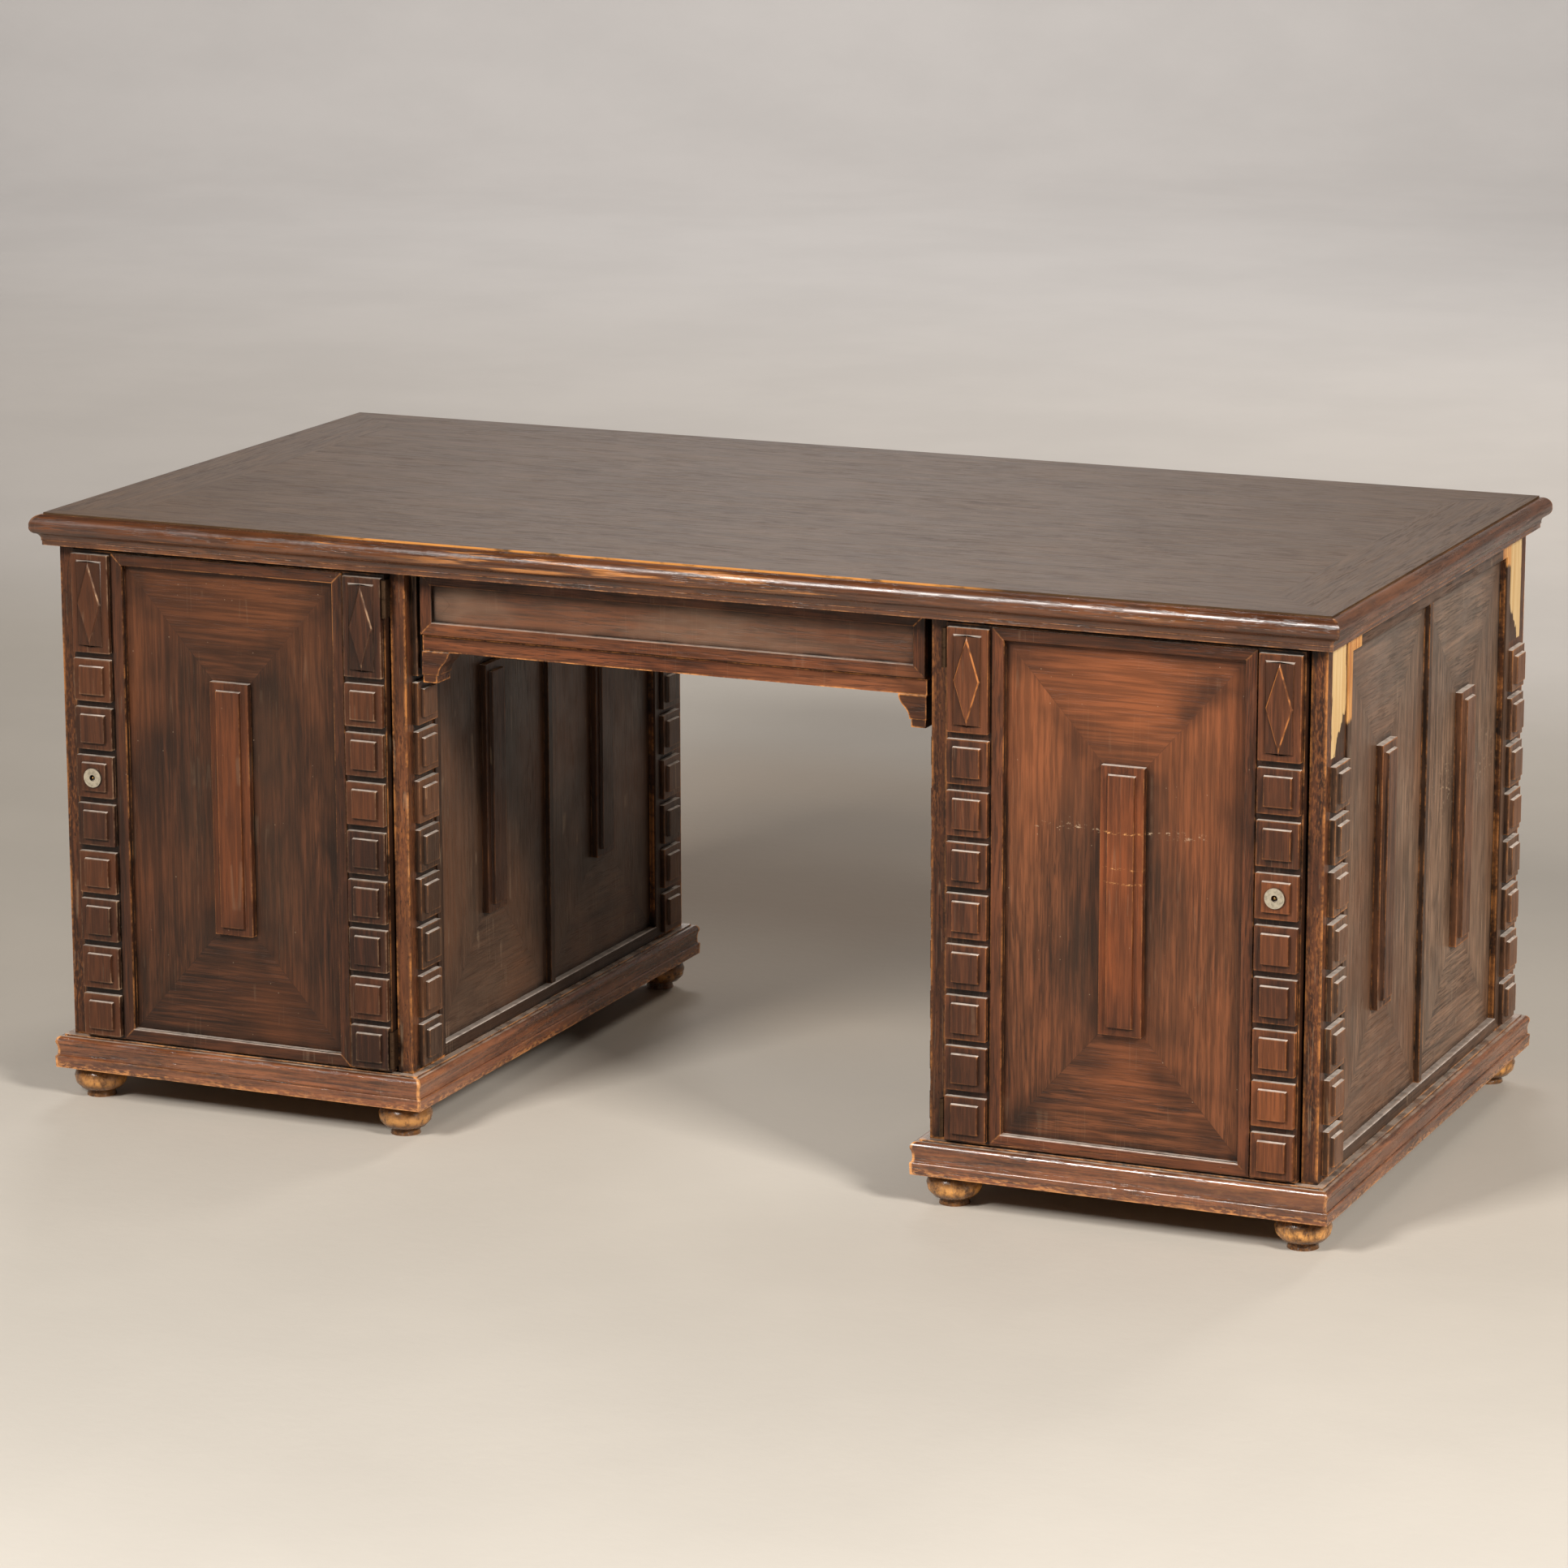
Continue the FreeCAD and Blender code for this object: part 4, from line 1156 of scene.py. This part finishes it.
PLINTH_RUBS_AND_TOP_LIGHT: Marks = (
    (Mask(
        (Figure((90, 90, 320), Step(0.48, 0.6), 4.0, 0.66), Figure(7.0, Step(0.3, 0.6, 0.35, 1.0))),
        steps=((Axis.Z, Step(0.0445, 0.0535, 1.0, 0.12)),), share=0.8,
    ), stain(206, 138, 78)),
    # The pale upward top of the plinth: dust and painted highlight.
    (Mask(
        (Figure(40.0, Step(0.34, 0.6, 0.4, 1.0), 3.0),),
        steps=((Axis.Z, Step(0.082, 0.084)),), upward=Step(0.9, 0.98), share=0.7,
    ), stain(196, 176, 158)),
)
# A golden band round the belly of each bun foot: wear and painted highlight, weaker on the left feet as
# painted shade.
FOOT_GOLD_AND_HIGHLIGHT: Marks = ((Mask(
    (Figure((110, 110, 60), Step(0.35, 0.6), 4.0, 0.65),), (Span(Axis.Z, 0.016, 0.027, 0.007),),
    ((Axis.X, Step(-0.2, 0.2, 0.6, 1.0)),),
), stain(236, 168, 92)),)
DRAWER_BLOOM: Marks = ((Mask((Figure((6, 6, 14), Step(0.35, 0.7, 0.2, 0.75), 4.0, 0.6),), (
    Span(Axis.X, -0.325, 0.325), Span(Axis.Z, 0.672, 0.719),
)), stain(126, 100, 82)),)


@dataclass(frozen=True)
class Softening:
    """Takes the machine-sharp arrises off a CAD piece, or rounds its facets, by live modifiers."""

    width: float = 0.0005
    segments: int = 1
    angle: float = math.radians(32)
    joined_within: float = 1e-6

    def weld(self, piece: bpy.types.Object) -> None:
        """Joins the loose triangles of a piece."""
        joined = piece.modifiers.new("joined", "WELD")
        joined.merge_threshold = self.joined_within

    def bevel(self, piece: bpy.types.Object) -> None:
        """Rounds the sharp edges of a flat-sided piece.

        Args:
            piece: The CAD node.
        """
        self.weld(piece)
        rounded = piece.modifiers.new("soft_arris", "BEVEL")
        rounded.width = self.width
        rounded.segments = self.segments
        rounded.limit_method = "ANGLE"
        rounded.angle_limit = self.angle

    def smooth(self, piece: bpy.types.Object) -> None:
        """Shades the facets of a curved piece as one surface, up to its sharp edges.

        Args:
            piece: The CAD node.
        """
        piece.data.shade_smooth()
        self.weld(piece)
        creases = piece.modifiers.new("creases", "EDGE_SPLIT")
        creases.split_angle = self.angle


def dress(node: str, material: bpy.types.Material) -> bpy.types.Object:
    """Gives a CAD node its finish.

    Args:
        node: The node's name.
        material: The finish.

    Returns:
        The node's object.
    """
    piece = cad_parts[node]
    piece.data.materials.clear()
    piece.data.materials.append(material)
    LOG.info("dressed %s in %s", node, material.name)
    return piece


def band(axis: Axis, step: Step, paint: Colour) -> tuple[Mask, Colour]:
    """A colour that comes over the paint of the sweep along one axis."""
    return Mask(steps=((axis, step),)), paint


PALE = stain(204, 196, 185)
DULL = stain(146, 140, 132)


@dataclass(frozen=True)
class Paint:
    """The painted floor and wall: duller in front and to the right, and shaded under and behind the desk."""

    floor: Marks = (
        band(Axis.Y, Step(-6.0, -2.4), PALE),
        band(Axis.X, Step(2.0, 4.6), DULL),
        band(Axis.Y, Step(-9.5, -7.5, 1.0, 0.0), PALE),
        band(Axis.Y, Step(-1.6, 0.4), stain(188, 178, 165)),
        band(Axis.Y, Step(0.8, 1.6), stain(166, 157, 146)),
        band(Axis.Y, Step(2.0, 3.2), stain(187, 179, 171)),
    )
    shaded: Mask = Mask(spans=(Span(Axis.X, -1.05, 0.05, 0.3), Span(Axis.Y, 0.2, 2.3, 0.2)))
    near_shade: Colour = stain(190, 175, 157)
    shade: Marks = (
        band(Axis.Y, Step(0.45, 0.9), stain(160, 141, 121)),
        band(Axis.Y, Step(0.9, 1.4), stain(134, 121, 107)),
        band(Axis.Y, Step(1.6, 2.0), stain(138, 129, 119)),
    )
    far: Marks = (band(Axis.Y, Step(4.0, 8.0), stain(190, 184, 179)),)
    mottle: Figure = Figure(1.6, Step(0.3, 0.7, 0.97, 1.03), 4.0, 0.6)
    roughness: float = 0.72
    texture: Figure = Figure(60.0, detail=3.0)
    texture_depth: float = 0.0004

    def material(self) -> bpy.types.Material:
        """Makes the paint."""
        sheet = Sheet("studio_sweep")
        shade = sheet.painted(self.near_shade, self.shade)
        colour = sheet.colour(sheet.mask(self.shaded), sheet.painted(DULL, self.floor), shade)
        colour = sheet.colour(1.0, sheet.painted(colour, self.far), sheet.noise(self.mottle), "MULTIPLY")
        sheet.surface(colour, self.roughness, sheet.times(sheet.noise(self.texture), self.texture_depth))
        return sheet.material


WARM = (1.0, 0.985, 0.955)
COOL = (0.975, 0.985, 1.0)


@dataclass(frozen=True)
class Lamp:
    """One soft square lamp: where it hangs, its side in metres, its watts, its tint and what it looks at.

    Without glints, polished wood doesn't mirror it.
    """

    name: str
    place: Triple
    side: float
    power: float
    tint: Triple = WARM
    aim: Triple = (0.0, 0.0, 0.4)
    glints: bool = True

    def hang(self) -> None:
        """Puts up the lamp."""
        data = bpy.data.lights.new(self.name, "AREA")
        data.shape = "SQUARE"
        data.size = self.side
        data.energy = self.power
        data.color = self.tint
        lamp = bpy.data.objects.new(self.name, data)
        lamp.location = self.place
        lamp.visible_glossy = self.glints
        ahead = Vector(self.aim) - Vector(self.place)
        lamp.rotation_euler = ahead.to_track_quat("-Z", "Y").to_euler()
        bpy.context.scene.collection.objects.link(lamp)


@dataclass(frozen=True)
class Studio:
    """The pale sweep, the lamps and the camera of the photograph."""

    camera_place: Triple = (2.777, -6.398, 2.033)
    pitch: float = math.radians(13.10)
    yaw: float = math.radians(-23.60)
    roll: float = math.radians(-0.105)
    focus_pixels: float = 6777
    photo_pixels: float = 1932
    sensor: float = 36
    sight: float = 60
    floor_reach: float = 9.8
    bend: float = 2.6
    bend_steps: int = 16
    wall_top: float = 8.0
    round_steps: int = 72
    joined_within: float = 1e-4
    room: Colour = stain(206, 200, 192)
    room_light: float = 0.08
    lamps: tuple[Lamp, ...] = (
        Lamp("left_softbox", (-1.9, -5.8, 4.6), 1.5, 430),
        Lamp("right_softbox", (5.6, -3.2, 4.2), 1.6, 510),
        Lamp("back_softbox", (1.2, 6.6, 4.0), 1.6, 170, glints=False),
        Lamp("floor_wash", (-3.5, 8.4, 6.2), 3.0, 310, COOL, (-2.8, 8.8, 0.0)),
    )

    def sweep(self) -> None:
        """A round floor that bends up into a wall on every side."""
        mesh = bpy.data.meshes.new("sweep")
        shape = bmesh.new()
        middle = shape.verts.new((0, 0, 0))
        rim = shape.verts.new((self.floor_reach, 0, 0))
        shape.edges.new((middle, rim))
        bent = bmesh.ops.spin(
            shape,
            geom=[rim],
            cent=(self.floor_reach, 0, self.bend),
            axis=(0, -1, 0),
            angle=math.pi / 2,
            steps=self.bend_steps,
        )
        last = [part for part in bent["geom_last"] if isinstance(part, bmesh.types.BMVert)]
        wall = bmesh.ops.extrude_vert_indiv(shape, verts=last)
        bmesh.ops.translate(shape, vec=(0, 0, self.wall_top - self.bend), verts=wall["verts"])
        bmesh.ops.spin(
            shape,
            geom=shape.verts[:] + shape.edges[:],
            cent=(0, 0, 0),
            axis=(0, 0, 1),
            angle=2 * math.pi,
            steps=self.round_steps,
            use_merge=True,
        )
        bmesh.ops.remove_doubles(shape, verts=shape.verts, dist=self.joined_within)
        bmesh.ops.recalc_face_normals(shape, faces=shape.faces)
        shape.to_mesh(mesh)
        shape.free()
        mesh.shade_smooth()
        mesh.materials.append(Paint().material())
        sweep = bpy.data.objects.new("sweep", mesh)
        bpy.context.scene.collection.objects.link(sweep)

    def light(self) -> None:
        """Two soft front lamps, a weak one behind, one over the far floor, and the grey of the room."""
        for lamp in self.lamps:
            lamp.hang()
        world = bpy.data.worlds.new("room")
        world.use_nodes = True
        background = world.node_tree.nodes["Background"]
        background.inputs["Color"].default_value = self.room
        background.inputs["Strength"].default_value = self.room_light
        bpy.context.scene.world = world

    def camera(self) -> None:
        """The camera where the photographer stood."""
        ahead = Vector((
            math.cos(self.pitch) * math.sin(self.yaw),
            math.cos(self.pitch) * math.cos(self.yaw),
            -math.sin(self.pitch),
        ))
        level = Vector((math.cos(self.yaw), -math.sin(self.yaw), 0))
        up = level.cross(ahead)
        right = math.cos(self.roll) * level + math.sin(self.roll) * up
        up = right.cross(ahead)
        turn = Matrix((right, up, -ahead)).transposed().to_4x4()
        data = bpy.data.cameras.new("photograph")
        data.lens = self.focus_pixels / self.photo_pixels * self.sensor
        data.sensor_width = self.sensor
        data.clip_end = self.sight
        camera = bpy.data.objects.new("photograph", data)
        camera.matrix_world = Matrix.Translation(self.camera_place) @ turn
        bpy.context.scene.collection.objects.link(camera)
        bpy.context.scene.camera = camera

    def build(self) -> None:
        """Sets up stage, light, camera and view."""
        self.sweep()
        self.light()
        self.camera()
        bpy.context.scene.view_settings.view_transform = "Standard"
        LOG.info("studio ready")


@dataclass(frozen=True)
class KeyPins:
    """The pins in the four locks, that a hollow key slides over."""

    across: float = 0.7995
    level: float = 0.43778
    tip: float = 0.4342
    root: float = 0.3984
    radius: float = 0.0016
    sides: int = 20
    rim: float = 0.00064
    rim_segments: int = 3
    same_place: int = 6

    def build(self, metal: bpy.types.Material) -> None:
        """Makes the pins.

        Args:
            metal: Their finish.
        """
        for face, depth in (("front", -1), ("back", 1)):
            for side, way in (("left", -1), ("right", 1)):
                middle = Vector((way * self.across, depth * (self.tip + self.root) / 2, self.level))
                self.turned("%s_%s" % (face, side), middle, metal)

    def turned(self, door: str, middle: Vector, metal: bpy.types.Material) -> None:
        """Makes one pin, lying along the depth of the desk.

        Args:
            door: The door that it moves with.
            middle: Its middle.
            metal: Its finish.
        """
        name = "key_pin_" + door
        shape = bmesh.new()
        bmesh.ops.create_cone(
            shape,
            cap_ends=True,
            segments=self.sides,
            radius1=self.radius,
            radius2=self.radius,
            depth=self.tip - self.root,
            matrix=Matrix.Translation(middle) @ Matrix.Rotation(math.pi / 2, 4, "X"),
        )
        rims = [
            edge for edge in shape.edges
            if len({round(point.co.y, self.same_place) for point in edge.verts}) == 1
        ]
        bmesh.ops.bevel(
            shape, geom=rims, offset=self.rim, segments=self.rim_segments, profile=0.5, affect="EDGES",
            material=-1,
        )
        mesh = bpy.data.meshes.new(name)
        shape.to_mesh(mesh)
        shape.free()
        mesh.shade_smooth()
        mesh.materials.append(metal)
        pin = bpy.data.objects.new(name, mesh)
        bpy.context.scene.collection.objects.link(pin)
        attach(pin, "door_" + door)
        LOG.info("turned %s with %d points", name, len(mesh.vertices))


@dataclass(frozen=True)
class Desk:
    """The finishes of every CAD node."""

    soft: Softening = Softening()
    round_soft: Softening = Softening(angle=math.radians(42))
    left_doors_lightness: float = 0.74

    def dress_top(self) -> None:
        """The board, its veneer and its moulded edge."""
        board = Oak(
            "tabletop", Lay.TOP, stain(72, 51, 33), stain(95, 69, 45), stain(108, 80, 54), wear=0.0,
            seam=0.12, patchy=0.12, smoke=0.1, pores=0.35, dirt_and_shade=0.15, roughness=0.42, scratched=0.1,
            sheen=0.17, smear=0.015, uneven=0.0001, over=TOP_FRONT_RUB,
        ).material()
        edge = EdgeOak(
            "top_edge", Lay.TOP_EDGE, stain(62, 34, 18), stain(104, 59, 32), stain(128, 77, 43), seam=0.3,
            roughness=0.27, sheen=0.7, smear=0.06, scratched=0.05,
        ).material()
        for node in ("top_core", "top_veneer"):
            dress(node, board)
        self.soft.smooth(dress("top_moulding", edge))

    def dress_pedestals(self) -> None:
        """The sides and the foot of both pedestals."""
        rail = Oak(
            "side_rail", Lay.SIDE_FRAME, stain(50, 35, 25), stain(88, 61, 44), stain(112, 82, 63), dust_and_top_light=0.5,
            kneehole=0.7,
        )
        # The side leaf's pale greyish colours include painted sheen.
        leaf = LeafOak(
            "side_leaf", Lay.SIDE_LEAVES, stain(72, 54, 41), stain(148, 112, 87), stain(176, 140, 112),
            seam=0.25, red=stain(118, 76, 50), wear=0.0, scratched=0.2, sheen=0.35, kneehole=0.78, smoke=0.65,
            smoky=stain(48, 37, 28), middle_line=SIDE_PANEL, halo=0.35, specked=0.35,
            over=SIDE_SCUFFS,
        )
        strip = SideStripOak(
            "side_strip", Lay.SIDE_STRIPS, stain(52, 36, 26), stain(94, 65, 46), stain(122, 90, 68), seam=0.3,
            wear_reach=0.0012, wear=0.7, dust_and_top_light=0.7, kneehole=0.7,
        )
        for node, finish in (("side_rails", rail), ("side_panels", leaf), ("side_strips", strip)):
            dress(node, finish.material())
        stile = StileOak(
            "corner_stile", Lay.UPRIGHT, stain(50, 28, 18), stain(98, 56, 34), stain(134, 82, 50), wear=1.7,
            right_edge_highlight=0.4, wear_reach=0.0055, worn=stain(212, 138, 72), dirt_and_shade=1.0, dirt_and_shade_reach=0.02,
        )
        tablet = Oak(
            "side_tablet", Lay.UPRIGHT, stain(62, 38, 25), stain(112, 72, 48), stain(136, 92, 64), wear=1.2,
            right_edge_highlight=0.4, worn=stain(206, 132, 72), dirt_and_shade_reach=0.014, dust_and_top_light=1.0, kneehole=0.7,
        )
        for node, finish in (("corner_stiles", stile), ("side_tablets", tablet)):
            self.soft.bevel(dress(node, finish.material()))
        relief = BossOak(
            "side_relief", Lay.UPRIGHT, stain(60, 41, 29), stain(112, 80, 59), stain(142, 108, 84), wear=1.5,
            right_edge_highlight=0.5, red=stain(134, 84, 52), worn=stain(200, 134, 78), dirt_and_shade_reach=0.014, dust_and_top_light=1.0,
            sheen=0.35, kneehole=0.55, column=DESK_DEPTH, column_middle=0.3665, glow=0.4, arris_wear_and_highlight=0.5,
        ).material()
        for node in ("side_bosses", "side_lozenges"):
            self.soft.bevel(dress(node, relief))
        plinth = Oak(
            "plinth", Lay.PLINTH, stain(64, 34, 21), stain(134, 77, 46), stain(172, 109, 69), wear=1.8,
            seam=0.3, worn=stain(216, 148, 84), roughness=0.22, dirt_and_shade=0.9, dirt_and_shade_reach=0.014, sheen=0.85,
            scratched=0.1, over=PLINTH_RUBS_AND_TOP_LIGHT,
        ).material()
        foot = Oak(
            "bun_foot", Lay.CROSSWISE, stain(78, 51, 32), stain(140, 94, 54), stain(178, 123, 72),
            roughness=0.24, dirt_and_shade=0.2, wear=0.0, sheen=0.5, under=FOOT_GOLD_AND_HIGHLIGHT,
        ).material()
        self.soft.smooth(dress("plinth_mouldings", plinth))
        self.round_soft.smooth(dress("bun_feet", foot))

    def dress_inside(self) -> None:
        """What is seen with a door or a drawer open."""
        upright = Oak(
            "inner_board", Lay.UPRIGHT, stain(120, 88, 58), stain(156, 118, 80), stain(176, 138, 96),
            wear=0.3, dirt_and_shade=0.5, roughness=0.55,
        ).material()
        along = Oak(
            "inner_rail", Lay.LENGTHWISE, stain(110, 80, 53), stain(146, 110, 74), stain(168, 130, 90),
            wear=0.3, dirt_and_shade=0.5, roughness=0.55,
        ).material()
        for node in ("partitions", "foot_blocks", "locating_pegs"):
            dress(node, upright)
        for node in (
            "top_bearers", "crown_boards", "bottom_boards", "shelves", "shelf_cleats", "drawer_hangers",
            "drawer_runners", "drawer_front_box", "drawer_back_box",
        ):
            dress(node, along)

    def dress_aprons(self) -> None:
        """The frieze drawers and the rails and brackets under them."""
        rail = Oak(
            "apron_rail", Lay.LENGTHWISE, stain(66, 37, 24), stain(118, 66, 41), stain(146, 90, 58), wear=1.5,
            patchy=0.6, worn=stain(216, 144, 82), dirt_and_shade_reach=0.012, dust_and_top_light=0.3, scratched=0.05, sheen=0.2,
        ).material()
        bracket = Oak(
            "apron_bracket", Lay.LENGTHWISE, stain(48, 27, 17), stain(86, 49, 30), stain(112, 68, 42),
            wear=1.7, worn=stain(214, 140, 74), dirt_and_shade_reach=0.012, dust_and_top_light=0.5, scratched=0.05,
        ).material()
        face = Oak(
            "drawer_face", Lay.DRAWER, stain(60, 33, 20), stain(112, 63, 38), stain(136, 83, 52), seam=0.3,
            dirt_and_shade=1.0, dirt_and_shade_reach=0.045, scratched=0.04, dust_and_top_light=0.3, wear_reach=0.002, wear=1.5,
            under=DRAWER_BLOOM,
        ).material()
        dress("apron_rails", rail)
        self.soft.smooth(dress("apron_brackets", bracket))
        for node in ("drawer_front_face", "drawer_back_face"):
            dress(node, face)

    def dress_doors(self) -> None:
        """The four doors with their bosses and fittings; the left ones are painted darker as painted shade.
        """
        nickel = NICKEL.material()
        iron = BLACKENED.material()
        dress("hinge_butts", iron)
        KeyPins().build(BRASS.material())
        for side, lightness, way in (("left", self.left_doors_lightness, -1), ("right", 1.0, 1)):
            woods = self.door_woods(side, lightness, way)
            for face in ("front", "back"):
                door = "door_%s_%s_" % (face, side)
                dress(door + "frame", woods["frame"])
                dress(door + "panel", woods["leaf"])
                self.soft.bevel(dress(door + "mouldings", woods["strip"]))
                self.soft.bevel(dress(door + "bosses", woods["boss"]))
                self.soft.smooth(dress(door + "hinges", iron))
                self.soft.smooth(dress(door + "lock", nickel))
                dress(door + "bolt", nickel)

    @staticmethod
    def door_woods(side: str, lightness: float, way: int) -> dict[str, bpy.types.Material]:
        """The finishes of one pair of doors.

        Args:
            side: Left or right.
            lightness: How light the doors are painted: 1 for the lighter doors, less for the painted shade of
                the left ones.
            way: -1 for the left pedestal and 1 for the right one.

        Returns:
            The finishes by part.
        """
        def tone(red: int, green: int, blue: int) -> Colour:
            """A colour, painted darker on the left doors as painted shade."""
            return stain(round(red * lightness), round(green * lightness), round(blue * lightness))

        # The left doors are a painted-shade copy of the right ones: darker tones, more smoke, less glow and
        # pale dust, and a paler worn colour.
        left = way < 0
        finishes = {
            "frame": Oak(
                "door_frame_" + side, Lay.DOOR_FRAME, tone(46, 27, 17), tone(84, 48, 30), tone(108, 65, 41),
                dust_and_top_light=0.5, scratched=0.08, specked=0.2,
            ),
            "leaf": LeafOak(
                "door_leaf_" + side, Lay.DOOR_LEAVES, tone(50, 30, 19), tone(118, 69, 43), tone(146, 89, 56),
                red=tone(152, 86, 50), seam=0.7, seam_reach=0.05, wear=0.0, dirt_and_shade_reach=0.05, scratched=0.05,
                specked=0.3, smoke=0.9 if left else 0.6, over=DOOR_SCUFFS,
            ),
            "strip": StripOak(
                "door_strip_" + side, Lay.DOOR_STRIPS, tone(54, 31, 19), tone(106, 59, 36), tone(132, 77, 48),
                red=tone(142, 75, 39), seam=0.3, wear_reach=0.002, wear=1.6, right_edge_highlight=0.5,
                dust_and_top_light=0.5 if left else 0.8, scratched=0.08, specked=0.2, over=TABLET_RUBS,
            ),
            "boss": BossOak(
                "door_boss_" + side, Lay.UPRIGHT, tone(50, 29, 19), tone(98, 56, 35), tone(126, 75, 47),
                red=tone(150, 85, 47), dirt_and_shade_reach=0.014, dust_and_top_light=0.6 if left else 0.8, wear=1.5, right_edge_highlight=0.7,
                worn=stain(176, 140, 108) if left else stain(208, 132, 72), glow=0.25 if left else 0.38,
                pedestal_middle=way * PEDESTAL_MIDDLE, upper_right_highlight=left, scratched=0.08,
            ),
        }
        return {part: wood.material() for part, wood in finishes.items()}

    def build(self) -> None:
        """Dresses all nodes."""
        self.dress_top()
        self.dress_pedestals()
        self.dress_inside()
        self.dress_aprons()
        self.dress_doors()


def main() -> None:
    """Builds everything."""
    logging.basicConfig(level=logging.INFO, format="%(message)s")
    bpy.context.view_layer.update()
    Desk().build()
    Studio().build()


if __name__ == "__main__":
    main()
